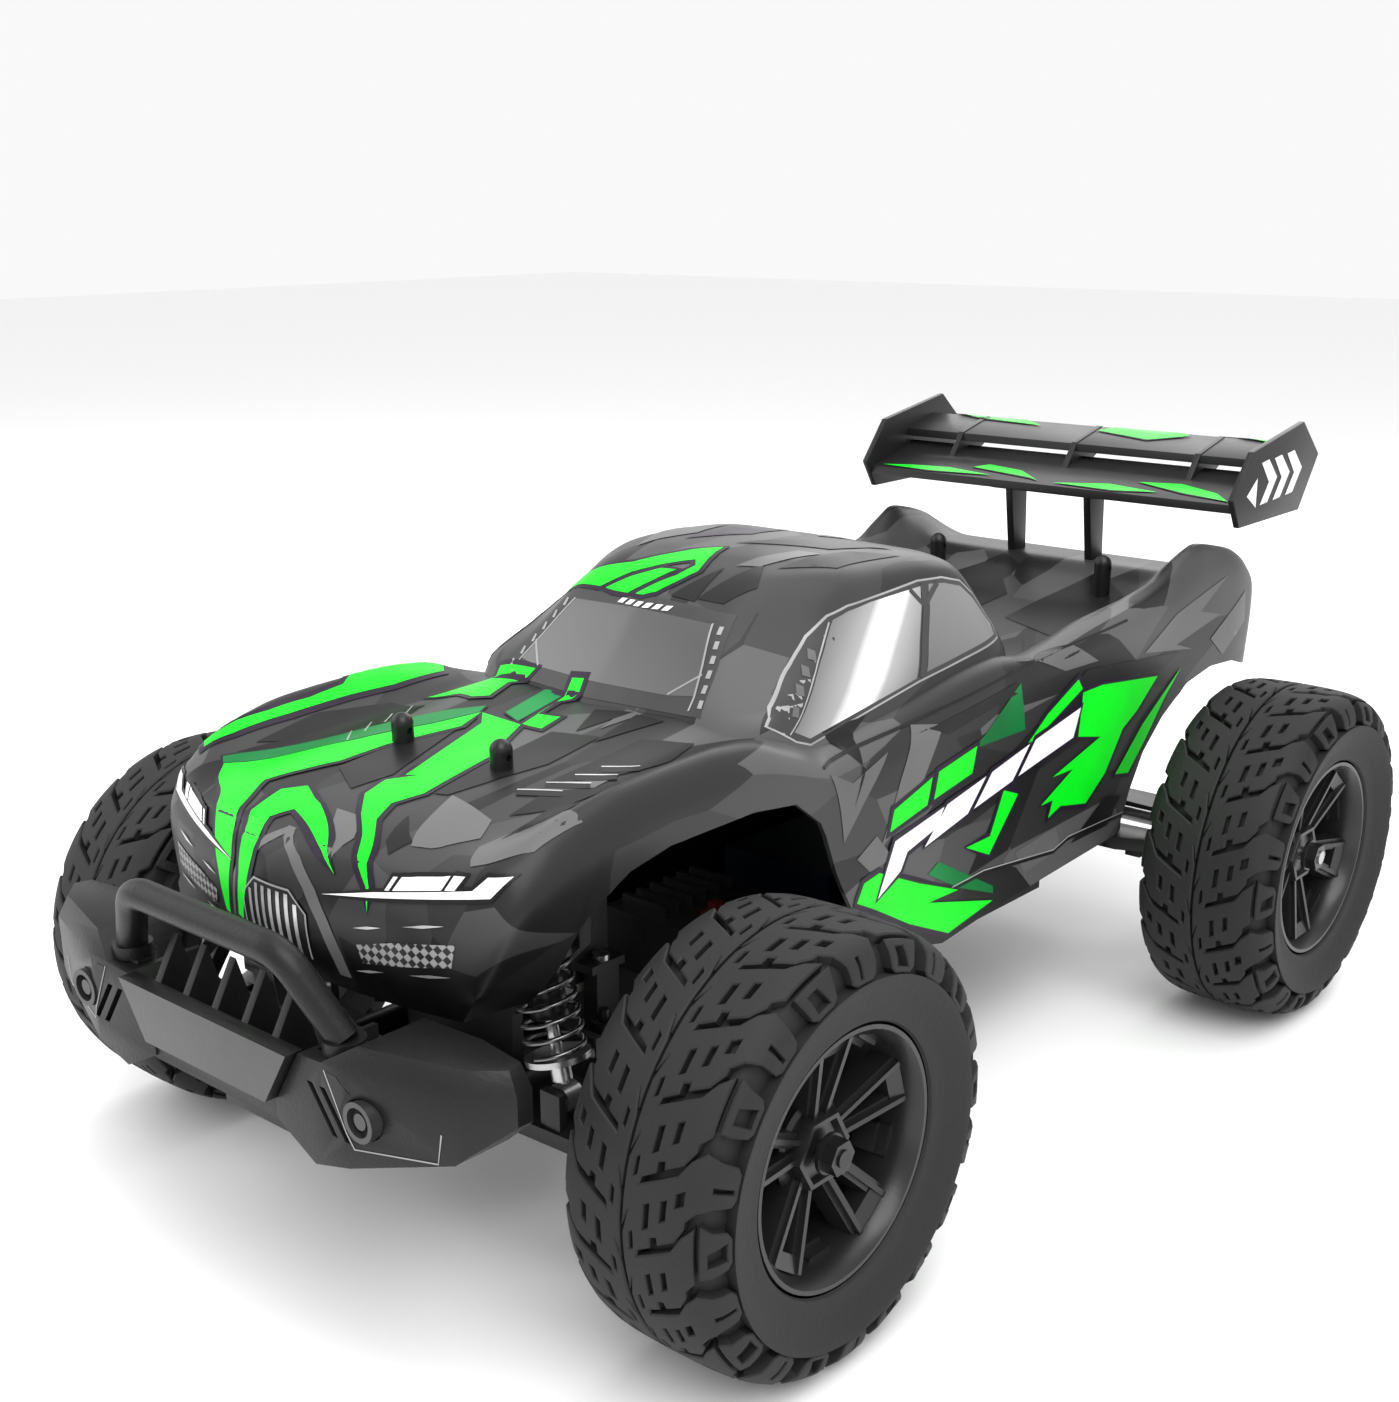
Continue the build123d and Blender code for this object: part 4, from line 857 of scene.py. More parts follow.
NEAR_HOOD_DARK = (
    ((8, -95), (21, -92), (24, -112), (19, -138), (15.5, -139), (11, -117)),
    ((-13, -105.5), (-1.5, -136), (-3, -147), (-16, -140), (-16.5, -126)),
    ((-45, -100), (-36, -96), (-34, -110), (-47.5, -140), (-49, -120)),
    ((40, -128), (48, -112), (50, -130), (44, -146)),
    ((30, -88), (40, -80), (43, -92), (36, -112), (31, -120)), ((6, -78), (16, -75), (13, -92)),
    ((18, -76), (27, -76), (22, -96)), ((34, -122), (44, -106), (42, -126), (36, -136)),
    ((20, -150), (29, -158), (28, -166), (24, -162)),
    ((-34, -100), (-30, -116), (-47, -146), (-44, -126)),
)
NEAR_HOOD_LIGHT = (
    ((20, -137.5), (35, -140), (39, -147), (34, -157), (30, -160), (26, -152)),
    ((42, -150), (44, -134), (59, -137), (57, -149), (47, -159)), ((13, -74), (19, -75), (17, -88)),
    ((31, -100), (38, -97), (40, -118), (33, -124)),
    ((3, -156), (11, -156), (17, -165), (16, -172), (9, -165)),
)
ROOF_SHARDS = (
    (
        (-31, -49.5), (-27, -44), (-15.6, -40), (-4.5, -30.5), (2.5, -25.2), (4.2, -33), (6.6, -40),
        (4.7, -44.5), (1.3, -50.2), (-1.6, -51.8), (-4.4, -51.6), (2.3, -43.5), (4, -38),
        (1.6, -35.2), (-5, -39.2), (-12.5, -44.2), (-18, -50.2),
    ),
    (
        (-15.8, -50.6), (-11.3, -46), (-4.6, -41.5), (0.4, -41.4), (-3, -46.5), (-7.2, -51.6),
        (-12, -51.2),
    ),
)
ROOF_GREYS = (
    ("print_black", ((-38, 52), (-12, 48), (-20, 80), (-30, 100))),
    ("print_black", ((-6, 50), (16, 50), (34, 74), (22, 96), (4, 78))),
    ("print_black", ((-34, 112), (-8, 92), (2, 118), (-16, 140))),
    ("print_black", ((10, 104), (36, 96), (38, 128), (22, 140))),
    ("print_light", ((18, 52), (36, 52), (38, 70))),
    ("print_light", ((-22, 84), (-4, 84), (-14, 104))),
    ("print_black", ((24, -30), (34, -18), (34, 10), (28, -6))),
    ("print_black", ((6, -50), (12, -36), (14, -50))),
    ("print_black", ((14, -49), (20, -30), (26, -40), (22, -48.5))),
    ("print_black", ((2, -20), (24, -8), (30, 12), (16, 2))),
    ("print_light", ((14, -34), (20, -16), (26, -14), (20, -32))),
    ("print_light", ((-24, -30), (-16, -14), (-22, 6), (-30, -10))),
    ("print_light", ((8, 8), (22, 18), (12, 26), (2, 18))),
    ("print_dark", ((-14, -22), (-2, -8), (-6, 14), (-16, 2))),
)
# Side shapes: place along the body, height.
SIDE_SHARDS = (
    ((61, 108.7), (63.5, 105.5), (47, 99), (31.5, 93.5), (45, 102)),
    (
        (64, 104.3), (75, 104.4), (109, 100.4), (98, 92), (90, 88), (82, 76), (72, 69), (57, 72),
        (50.5, 70), (52, 75), (45.5, 75), (62, 82), (50.5, 82.3), (76.5, 88.5), (63, 91.5),
    ),
    ((124, 100.2), (115, 92), (105.5, 81), (97, 72.5), (88.7, 74), (102.6, 86.6)),
    ((24, 85), (32, 82), (19.5, 67.5), (7, 73), (19, 73)),
    (
        (-43, 72), (-40.5, 76.7), (-34, 77.6), (-15, 69.2), (5, 61.4), (-9.4, 62), (24, 52.6),
        (2, 49.6), (-18, 58.6), (-35, 68),
    ),
)
SIDE_TINTS = (
    ((31, 113.5), (33.5, 100), (7, 100.5), (14, 103.5)),
    ((-6, 72.6), (23.6, 57), (24, 54.7), (5, 62), (-10.7, 70.4)),
)
SIDE_BLACKS = (
    (
        (66, 110.5), (122, 105.5), (112, 102), (66, 105.8), (42, 86), (30, 66), (10, 64), (24, 84),
        (10, 82), (30, 96),
    ),
    ((-48, 116), (-40, 106), (-46, 98), (-38, 112), (-30, 116)),
    ((84, 68), (94, 66), (88, 58), (66, 58)), ((-12, 110), (30, 114), (30, 111), (-4, 107)),
)
SIDE_LIGHTS = (
    ((-54, 108), (-46, 104), (-30, 108), (-42, 98), (-50, 90), (-52, 100)),
    ((-18, 112), (-6, 110), (-22, 90), (-34, 84), (-26, 100)),
    ((100, 109), (119, 117.5), (150, 125), (134, 116), (147, 113), (120, 108), (130, 105)),
    ((142, 106), (164, 118), (166, 108), (152, 99)),
    ((40, 118), (60, 118.4), (72, 112), (54, 112.4)), ((34, 64), (56, 66), (60, 58), (40, 56)),
    ((-44, 84), (-36, 88), (-28, 80), (-38, 79)),
)
SIDE_FLASH = (
    ((-34, 70.5), (-28, 84.5), (-6, 88), (-9, 83), (-22, 80), (-24.5, 75.4)),
    ((-14, 79), (-4.5, 88.3), (14, 91.5), (6, 83)), ((9, 83.6), (17, 92), (36, 95.5), (28, 86.8)),
    ((31, 87.4), (39, 96), (63, 100.2), (60, 92)),
)
SIDE_DASH = (
    ((-30.5, 87.5), (-29, 93), (-12, 97.5), (-14, 90.5)),
    ((-11, 91.2), (-9, 98.2), (9, 101), (7, 94)),
)
# Printed glass: windscreen in the front view, side windows in the side view.
SCREEN_FRAME = ((-34, 120.6), (-27.4, 141), (0, 142.4), (27.4, 141), (34, 120.6), (0, 120.4))
SCREEN_PANE = (
    (-29.6, 124.6), (-23.2, 138.8), (0, 139.8), (23.2, 138.8), (29.6, 124.6), (22, 123.8),
    (-22, 123.8),
)
SCREEN_LINES = (
    ((28.4, 128.8), (22.2, 124)), ((-28.4, 128.8), (-22.2, 124)),
    ((23.4, 138.9), (29.8, 124.4), (30.2, 121.6)), ((-23.4, 138.9), (-29.8, 124.4), (-30.2, 121.6)),
)
WINDOW_FRAME = (
    (-63, 119.6), (-60.4, 123), (-50, 129.4), (-39.3, 135.6), (-30.8, 139.2), (-23.4, 140.6),
    (8, 142), (19.4, 141.2), (28, 139), (32, 135), (35.5, 127), (34, 124.2), (-6.7, 120.2),
    (-52.4, 113.8), (-57, 115.4),
)
WINDOW_PANE = (
    (-30, 138.4), (-57.2, 117.4), (-52.4, 115), (-7.4, 120.8), (6.4, 136.6), (8.6, 140.8),
    (-14, 140.4), (-24, 139.6),
)
WINDOW_REAR = (
    (12.4, 140.8), (19.4, 140), (27, 138), (30.6, 134.4), (33.8, 127.4), (32.6, 125), (-2.6, 121.6),
    (9.4, 135.4),
)
WINDOW_POST = (
    ((9.6, 141.4), (7.6, 136), (-5.4, 120.8)), ((3.4, 140.8), (7.6, 136)),
    ((16.6, 140.6), (8.4, 136.6)),
)
WINDOW_DOTS = ((-41.6, 132), (-46, 129), (-50.8, 125.6), (-55.2, 121.6))
# Headlights, grille and intake marks in the front view.
LIGHT_STRIP = (
    (15.5, 100.6), (28.7, 102.2), (50, 105), (54, 105.6), (56.6, 109.8), (52.4, 109.4), (50, 106.6),
    (28.6, 103.3),
)
LIGHT_BLOCKS = (
    ((31.2, 104.1), (32.6, 107), (33.6, 107.1), (32.2, 104.2)),
    ((33, 104.3), (34.5, 107.2), (44.8, 108.6), (43.6, 105.9)),
    ((44.3, 106), (45.5, 108.7), (47.8, 109), (46.4, 106.2)),
)
GRILLE_FRAME = (
    (-10.8, 84.5), (-10.8, 95), (-6, 99.4), (6, 99.4), (10.8, 95), (10.8, 84.5), (0, 82),
)
GRILLE_INNER = (
    (-9.9, 85.2), (-9.9, 94.6), (-5.6, 98.6), (5.6, 98.6), (9.9, 94.6), (9.9, 85.2), (0, 83),
)
GRILLE_SLATS = 7
NOSE_STRUT = ((1, 110.4), (8, 106.8), (13.5, 101), (17, 95), (20, 88), (21.5, 82.5))
NOSE_STRUT_INNER = ((-1.5, 110.4), (4.6, 106.4), (10, 100.6), (14, 94), (17.2, 86), (18.2, 82.5))
DASHES = (
    ((23.9, 94.9), (31.1, 96.3)), ((36.3, 97.5), (45.8, 99.2)), ((23.3, 84.9), (31, 86.3)),
    ((37.3, 87), (47, 88.3)),
)
DASH_HALF = 0.35
MESH_PATCH = ((24.4, 91.2), (34, 93.6), (48.2, 95.6), (47.2, 90.4), (36, 88.6), (25.7, 87.2))


def mirrored_shape(shape):
    """Shape reflected in the centre plane, keeping its turning sense."""
    return tuple((-u, v) for u, v in reversed(shape))


def print_livery(printer):
    """Shards of the hood, roof and sides."""
    for shape in NEAR_HOOD_DARK:
        printer.print("print_black", shape, ray_top, 0.22)
    for shape in NEAR_HOOD_LIGHT:
        printer.print("print_light", shape, ray_top, 0.19)
    for material, shape in ROOF_GREYS:
        printer.print(material, shape, ray_top, 0.2)
    for shape in HOOD_TINTS:
        printer.shard("print_tint", shape, ray_top, 0.5)
    for shape in HOOD_SHARDS + ROOF_SHARDS + (FENDER_SHARD,):
        printer.shard("print_green", shape, ray_top)
    for ray in (ray_left, ray_right):
        for shape in SIDE_LIGHTS:
            printer.print("print_light", shape, ray, 0.16)
        for shape in SIDE_BLACKS:
            printer.print("print_black", shape, ray, 0.2)
        for shape in SIDE_TINTS:
            printer.print("print_tint", shape, ray, 0.2)
        for shape in SIDE_SHARDS + SIDE_DASH:
            printer.shard("print_green", shape, ray)
        for shape in SIDE_FLASH:
            printer.print("print_dark", widened(shape, 1.4), ray, 0.4)
            printer.print("print_white", shape, ray, 0.46)


def print_glass(printer):
    """Windscreen and side windows."""
    printer.print("print_frame", SCREEN_FRAME, ray_front, 0.14)
    printer.print("print_screen", SCREEN_PANE, ray_front, 0.2)
    for line in SCREEN_LINES:
        printer.print("print_line", ribbon(line, 0.5), ray_front, 0.28)
    for side in (-1, 1):
        for k in range(6):
            x, z = side * (26.2 + k * 1.2), 137.6 - k * 2.9
            dot = [(x - 0.5, z + 0.9), (x + 0.5, z + 0.9), (x + 1.0, z - 0.7), (x - 0.1, z - 0.7)]
            printer.print("print_line", dot, ray_front, 0.26)
    for k in range(6):
        x = -8.0 + k * 3.0
        mark = [(x, 139.9), (x + 1.9, 140.0), (x + 2.5, 141.0), (x + 0.6, 140.9)]
        printer.print("print_white", mark, ray_front, 0.3, 1.0)
    for ray in (ray_left, ray_right):
        printer.print("print_line", widened(WINDOW_FRAME, 0.5), ray, 0.14)
        printer.print("print_frame", WINDOW_FRAME, ray, 0.2)
        # Side window pane with its painted reflection band.
        printer.print("print_pane", WINDOW_PANE, ray, 0.27)
        printer.print("print_rear_pane", WINDOW_REAR, ray, 0.27)
        printer.print("print_line", ribbon(((-31.4, 138.0), (-58.6, 117.0)), 0.35), ray, 0.3)
        for line in WINDOW_POST:
            printer.print("print_frame", ribbon(line, 1.5), ray, 0.34)
        for y, z in WINDOW_DOTS:
            dot = [(y - 1.6, z - 0.6), (y + 0.2, z + 1.5), (y + 1.5, z + 0.7), (y + 0.2, z - 1.3)]
            printer.print("print_rear_pane", dot, ray, 0.34)


def print_face(printer):
    """Headlights, grille and intake marks of the nose."""
    printer.print("print_black", GRILLE_FRAME, ray_front, 0.2)
    printer.print("print_line", ribbon(GRILLE_FRAME[:6], 0.5), ray_front, 0.34)
    pitch = 2 * GRILLE_INNER[3][0] * 1.62 / GRILLE_SLATS
    for k in range(GRILLE_SLATS):
        x = (k - (GRILLE_SLATS - 1) / 2) * pitch
        top = 98.4 if abs(x) < 5.8 else 98.4 - (abs(x) - 5.8) * 0.92
        low = 83.4 + abs(x) * 0.2
        slat = [(x - 0.55, low), (x - 0.55, top), (x + 0.55, top), (x + 0.55, low)]
        printer.print("print_silver", slat, ray_front, 0.34, 1.5)
    for put in (tuple, mirrored_shape):
        for shape in LIGHT_BLOCKS + (LIGHT_STRIP,):
            printer.print("print_black", widened(put(shape), 0.8), ray_front, 0.4, 1.6)
            printer.print("print_white", put(shape), ray_front, 0.48, 1.6)
        strut = list(NOSE_STRUT) + list(reversed(NOSE_STRUT_INNER))
        printer.print("print_light", put(strut), ray_front, 0.16)
        printer.print("print_mesh", put(MESH_PATCH), ray_front, 0.2)
        for dash in DASHES:
            x, z = ((a + b) / 2 for a, b in zip(*dash))
            shape = [dash[0], (x, z + DASH_HALF), dash[1], (x, z - DASH_HALF)]
            printer.print("print_silver", put(shape), ray_front, 0.3, 1.5)


# ------------------------------------------------------------------ wheels
TREAD_X = 94.85
TREAD_R = 50.0
PITCHES = 20
TREAD_PROFILE = (
    (0, 50), (8, 49.9), (13.5, 49.5), (17.2, 48.5), (19.6, 46.4), (20.7, 43.6), (21.1, 41),
)
INNER_PROFILE = (
    (0, 50), (8, 49.9), (13, 49.5), (16.4, 48.4), (18.4, 46.4), (19.2, 43.6), (19.45, 41),
)
SIDEWALL = (
    (21.35, 40.9), (21.3, 40.2), (20.9, 39), (20.1, 37), (19, 34.4), (18.3, 32.4), (18.3, 31.2),
    (18, 30.2), (17.3, 29.8),
)
INNER_SIDEWALL = ((19.4, 41), (19.3, 38), (17.8, 34), (16.4, 31.2))
LUG_BEVEL = 0.4
RIM_LIP = (
    (94, 27.4), (106, 27.6), (108.2, 28.2), (111.6, 29.4), (112.3, 29.2), (112.3, 28.2),
    (110.4, 26.6), (107, 25.9), (104.4, 25.5), (77, 26.2), (76.5, 31),
)
PETALS = 5
PETAL_PHASE = {"front": 90.0, "rear": -90.0}


def tread_point(profile, s, t, lift):
    """Point on the tread: s across from the centre, t along at the tread radius, lifted off it."""
    side = -1 if s < 0 else 1
    line = TREAD_LINES[profile]
    place = abs(s) / TREAD_STEP
    k = min(int(place), len(line) - 2)
    f = place - k
    u = line[k][0] * (1 - f) + line[k + 1][0] * f
    r = line[k][1] * (1 - f) + line[k + 1][1] * f
    along = Vector((line[min(k + 2, len(line) - 1)][0] - line[max(k - 2, 0)][0],
                    line[min(k + 2, len(line) - 1)][1] - line[max(k - 2, 0)][1])).normalized()
    r += along.x * lift
    u -= along.y * lift
    angle = t / TREAD_R
    return Vector((TREAD_X + side * u, -r * cos(angle), r * sin(angle)))


def even_line(points, step):
    """Points a fixed distance apart along a rounded line."""
    radii = [0.0] + [3.0] * (len(points) - 2) + [0.0]
    curve = rounded([Vector((a, b, 0.0)) for a, b in points], radii, 5)
    lengths = [0.0]
    for a, b in zip(curve, curve[1:]):
        lengths.append(lengths[-1] + (b - a).length)
    result = []
    k = 0
    for i in range(int(lengths[-1] / step) + 1):
        while k < len(lengths) - 2 and lengths[k + 1] < i * step:
            k += 1
        f = (i * step - lengths[k]) / (lengths[k + 1] - lengths[k])
        spot = curve[k].lerp(curve[k + 1], f)
        result.append((spot.x, spot.y))
    return result


TREAD_STEP = 0.5
TREAD_LINES = {1: even_line(TREAD_PROFILE, TREAD_STEP), -1: even_line(INNER_PROFILE, TREAD_STEP)}


def block(parts, outline, holes, depth, shift, flip):
    """Add one tread block: bevelled top, walls, and pockets sunk into it."""
    verts, faces = parts
    loops = [divided(list(outline), 2.5)] + [divided(list(hole), 1.5) for hole in holes]
    tops = [widened(loops[0], -LUG_BEVEL)] + [widened(loop, LUG_BEVEL * 0.6) for loop in loops[1:]]
    flat = [p for loop in tops for p in loop]
    edges, start = [], 0
    for loop in tops:
        edges += [(start + k, start + (k + 1) % len(loop)) for k in range(len(loop))]
        start += len(loop)
    xs, ys = [p[0] for p in tops[0]], [p[1] for p in tops[0]]
    room, kept_off = widened(loops[0], -1.2), [widened(hole, 0.9) for hole in loops[1:]]
    y = min(ys) + 1.6
    while y < max(ys):
        x = min(xs) + 1.3
        while x < max(xs):
            if inside((x, y), room) and not any(inside((x, y), hole) for hole in kept_off):
                flat.append((x, y))
            x += 2.6
        y += 2.6
    points, _, triangles = delaunay_2d_cdt([Vector(p) for p in flat], edges, [], 0, 1e-5)[:3]
    base = len(verts)

    def put(point, lift):
        spot = tread_point(flip, point[0] * flip, point[1] + shift, lift)
        verts.append(spot)
        return len(verts) - 1

    for point in points:
        put(point, 0.0)
    for triangle in triangles:
        centre = sum((points[k] for k in triangle), Vector((0, 0))) / 3
        if inside(centre, tops[0]) and not any(inside(centre, hole) for hole in tops[1:]):
            faces.append([base + k for k in triangle])
    for index, (loop, top) in enumerate(zip(loops, tops)):
        rings = [[put(p, 0.0) for p in top], [put(p, -LUG_BEVEL * 0.7) for p in loop],
                 [put(p, -depth if index == 0 else -depth * 0.75) for p in loop]]
        for first, second in zip(rings, rings[1:]):
            for k in range(len(loop)):
                n = (k + 1) % len(loop)
                faces.append([first[k], first[n], second[n], second[k]])
        if index:
            faces.append(rings[-1])


# One side of the tread, from the centre out: place across, place along. The plates are chevrons.
PLATE = (
    (0.35, 1), (1.6, 4.6), (2.8, 4.9), (4.2, 12.4), (7.4, 14.2), (7.4, 16.4), (8.9, 17),
    (9.2, 15.4), (13.2, 17.5), (15.2, 20.8), (15.2, 22.4), (17.3, 24.6), (17.3, 37.2), (14.6, 34.6),
    (12.4, 31), (8.6, 29), (3, 26.2), (0.35, 15),
)
LONG_PLATE = PLATE[:12] + (
    (20.8, 26.0), (24.8, 26.0), (26.0, 27.6), (26.0, 33.8), (24.8, 35.4), (20.6, 36.0), (17.3, 37.0),
) + PLATE[13:]
PLATE_HOLES = (
    ((5.6, 17.6), (6.9, 18.4), (6.9, 23.6), (5.6, 22.8)),
    ((9.6, 20.6), (10.9, 21.4), (10.9, 25.6), (9.6, 24.8)),
    ((2.2, 12), (3, 12.6), (3, 16.4), (2.2, 15.6)),
    ((12.8, 24.6), (14.6, 25.6), (14.6, 28.6), (12.8, 27.4)),
)
SHOULDER_BLOCK = (
    (18.4, 25.6), (21, 25.6), (24.8, 26.2), (26, 27.8), (26, 34), (24.6, 35.8), (21, 36.4),
    (18.4, 37.8),
)
SHOULDER_POCKET = ((20.2, 28.2), (24.6, 28.6), (24.6, 33.2), (20.2, 31.6))
SIDE_SIPE = ((20, 29.4), (24.8, 29.2), (24.8, 30.2), (20, 30.6))


def wheel_rings(outline, segments, closed=True):
    """Surface turned round the axle from (x, radius) points."""
    verts, faces = [], []
    for i in range(segments):
        angle = 2 * pi * i / segments
        verts += [Vector((x, -r * cos(angle), r * sin(angle))) for x, r in outline]
    count = len(outline)
    for i in range(segments):
        j = (i + 1) % segments
        for k in range(count - 1 + closed):
            n = (k + 1) % count
            faces.append([i * count + k, i * count + n, j * count + n, j * count + k])
    return verts, faces


def tyre_mesh():
    """Left tyre round the origin: hollow carcass, chevron plates and shoulder blocks."""
    base = []
    for flip, line in ((1, TREAD_LINES[1]), (-1, TREAD_LINES[-1])):
        spots = [tread_point(flip, k * TREAD_STEP * flip, 0.0, -2.6)
                 for k in range(0, len(line), 4)]
        half = [(p.x, -p.y) for p in spots]
        base.append(half)
    outer = base[0] + [(TREAD_X + u, r) for u, r in SIDEWALL]
    inner = [(TREAD_X - u, r) for u, r in reversed(INNER_SIDEWALL)] + base[1][:0:-1]
    lining = [(108.0, 32.6), (109.0, 40.0), (104.0, 44.0), (86.0, 44.0), (79.5, 40.0), (79.5, 32.6)]
    verts, faces = wheel_rings(inner + outer + lining, 120)
    parts = (verts, faces)
    step = 2 * pi * TREAD_R / PITCHES
    for k in range(PITCHES):
        for flip in (1, -1):
            shift = k * step + (0.0 if flip > 0 else step / 2)
            if k % 2:
                block(parts, LONG_PLATE, PLATE_HOLES + (SIDE_SIPE,), 2.6, shift, flip)
            else:
                block(parts, PLATE, PLATE_HOLES[:3], 2.6, shift, flip)
                block(parts, SHOULDER_BLOCK, (SHOULDER_POCKET,), 2.7, shift, flip)
    return parts


def hexahedron(parts, corners):
    """Block from eight corners: four of one end, then four of the other."""
    verts, faces = parts
    start = len(verts)
    verts.extend(corners)
    for face in ((3, 2, 1, 0), (4, 5, 6, 7), (0, 1, 5, 4), (1, 2, 6, 5), (2, 3, 7, 6), (3, 0, 4, 7)):
        faces.append([start + k for k in face])


def spun(x, r, across, angle):
    """Point at a radius and a sideways distance, turned round the axle."""
    y = r * cos(angle) - across * sin(angle)
    z = r * sin(angle) + across * cos(angle)
    return Vector((x, y, z))


def rim_mesh(phase):
    """Left rim round the origin: stepped barrel, five twin ribs, hub with a hexagon."""
    parts = wheel_rings(RIM_LIP, 96)
    verts, faces = parts
    for profile, segments in (
        (((93.2, 2.2), (93.2, 8.6), (104.0, 9.6), (106.6, 8.6), (106.6, 7.4), (105.2, 6.4), (105.2, 2.2)), 6),
        (((98.0, 3.0), (98.0, 10.6), (102.6, 11.0), (103.4, 10.0), (103.2, 3.0)), 40),
    ):
        ring_verts, ring_faces = wheel_rings(profile, segments)
        start = len(verts)
        verts.extend(ring_verts)
        faces.extend([start + k for k in face] for face in ring_faces)
    for petal in range(PETALS):
        middle = radians(phase + 360.0 / PETALS * petal)
        for side in (-1, 1):
            near, far = middle + side * radians(14.0), middle + side * radians(11.0)
            for wide, low, high in ((0.85, -6.5, 0.0), (2.3, -6.5, -1.4)):
                ends = []
                for r, angle, face in ((8.0, near, 105.4), (26.0, far, 109.0)):
                    ends += [spun(face + low, r, -wide, angle), spun(face + low, r, wide, angle),
                             spun(face + high, r, wide * 0.72, angle),
                             spun(face + high, r, -wide * 0.72, angle)]
                hexahedron(parts, ends)
        web = []
        for r, half, face in ((22.6, radians(10.6), 107.2), (26.3, radians(11.5), 108.6)):
            web += [spun(face - 5.0, r * cos(half), -r * sin(half), middle),
                    spun(face - 5.0, r * cos(half), r * sin(half), middle),
                    spun(face, r * cos(half), r * sin(half), middle),
                    spun(face, r * cos(half), -r * sin(half), middle)]
        hexahedron(parts, web)
        gap = middle + radians(180.0 / PETALS)
        for low, high, r in ((98.0, 103.4, 23.2), (103.4, 106.0, 24.6)):
            pad = []
            for radius, half in ((r, 8.0), (26.4, 9.0)):
                pad += [spun(low, radius, -radius * sin(radians(half)), gap),
                        spun(low, radius, radius * sin(radians(half)), gap),
                        spun(high, radius, radius * sin(radians(half)), gap),
                        spun(high, radius, -radius * sin(radians(half)), gap)]
            hexahedron(parts, pad)
    return parts


def placed(parts, side, y):
    """Wheel piece, made for the left side, placed on one side at an axle."""
    verts, faces = parts
    moved = [Vector((side * v.x, v.y + y, v.z + AXLE_Z)) for v in verts]
    return moved, [list(face) if side > 0 else list(reversed(face)) for face in faces]


def wheels():
    """The four tyres and rims."""
    tyre = tyre_mesh()
    for end, y in AXLES.items():
        rim = rim_mesh(PETAL_PHASE[end])
        for name, side in SIDES.items():
            body = f"{end}_{name}_wheel"
            for kind, parts, slot, smooth in (
                ("tyre", tyre, "tyre_rubber", 24.0), ("rim", rim, "rim_plastic", 30.0),
            ):
                verts, faces = placed(parts, side, y)
                piece = mesh_piece(f"{kind}_{end}_{name}", verts, faces, MATERIALS[slot], body, smooth)
                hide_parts(f"{end}_{name}_{kind}")


# ------------------------------------------------------------------ moulded parts with rounded edges
BODIES = frame["record"]["behaviour"]["bodies"]
BODY_OF = {node: body for body, nodes in BODIES.items() for node in nodes}
EDGE_ANGLE = 35.0
MOULDED = {
    "rear_wing": (0.35, "wing_plastic"), "wing_end_plates": (0.4, "wing_plastic"),
    "wing_supports": (0.3, "black_plastic"), "front_left_arm": (0.35, "black_plastic"),
    "front_right_arm": (0.35, "black_plastic"), "rear_left_arm": (0.35, "black_plastic"),
    "rear_right_arm": (0.35, "black_plastic"),
}
SHOCKS = {
    "front": ((36.0, -130.0, 86.0), (45.0, -130.0, 47.5)),
    "rear": ((37.0, 104.0, 93.0), (50.0, 104.0, 56.0)),
}


def copied(node, width):
    """Mesh of a CAD node in the row frame, its flat faces joined and its sharp edges rounded."""
    source = frame["nodes"][node]
    bm = bmesh.new()
    bm.from_mesh(source.data)
    bm.transform(source.matrix_world)
    bmesh.ops.remove_doubles(bm, verts=bm.verts, dist=2e-6)
    if width:
        bmesh.ops.dissolve_limit(bm, angle_limit=radians(1.5), verts=bm.verts, edges=bm.edges)
        sharp = [e for e in bm.edges
                 if len(e.link_faces) == 2 and e.calc_face_angle(0.0) > radians(EDGE_ANGLE)]
        bmesh.ops.bevel(bm, geom=sharp, offset=width * MM, segments=2, profile=0.6, affect="EDGES",
                        clamp_overlap=True)
    return bm


def moulded(node, width, slot, accent=None, chosen=None):
    """Detailed copy of a node that replaces it; chosen faces take the accent material."""
    bm = copied(node, width)
    if chosen:
        for face in bm.faces:
            face.material_index = int(chosen(face))
    mesh = bpy.data.meshes.new("detail_" + node)
    bm.to_mesh(mesh)
    bm.free()
    mesh.materials.append(MATERIALS[slot])
    if accent:
        mesh.materials.append(MATERIALS[accent])
    piece = bpy.data.objects.new("detail_" + node, mesh)
    bpy.context.scene.collection.objects.link(piece)
    set_smooth(piece, 30.0)
    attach(piece, BODY_OF[node])
    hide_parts(node)
    return piece


def centre_plate(face):
    """Whether a bumper face is the front of its centre plate."""
    spot = face.calc_center_median() / MM
    return face.normal.y < -0.9 and spot.y < -193.0 and abs(spot.x) < 31.0


def springs():
    """Coil springs copied from the CAD springs, fixed where they stand."""
    for end, (top, foot) in SHOCKS.items():
        for name, side in SIDES.items():
            node = f"{end}_{name}_spring"
            bm = copied(node, 0.0)
            mesh = bpy.data.meshes.new("coil_" + node)
            bm.to_mesh(mesh)
            bm.free()
            mesh.materials.append(MATERIALS["spring_steel"])
            piece = bpy.data.objects.new("coil_" + node, mesh)
            bpy.context.scene.collection.objects.link(piece)
            set_smooth(piece, 40.0)
            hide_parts(node)
            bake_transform(piece)


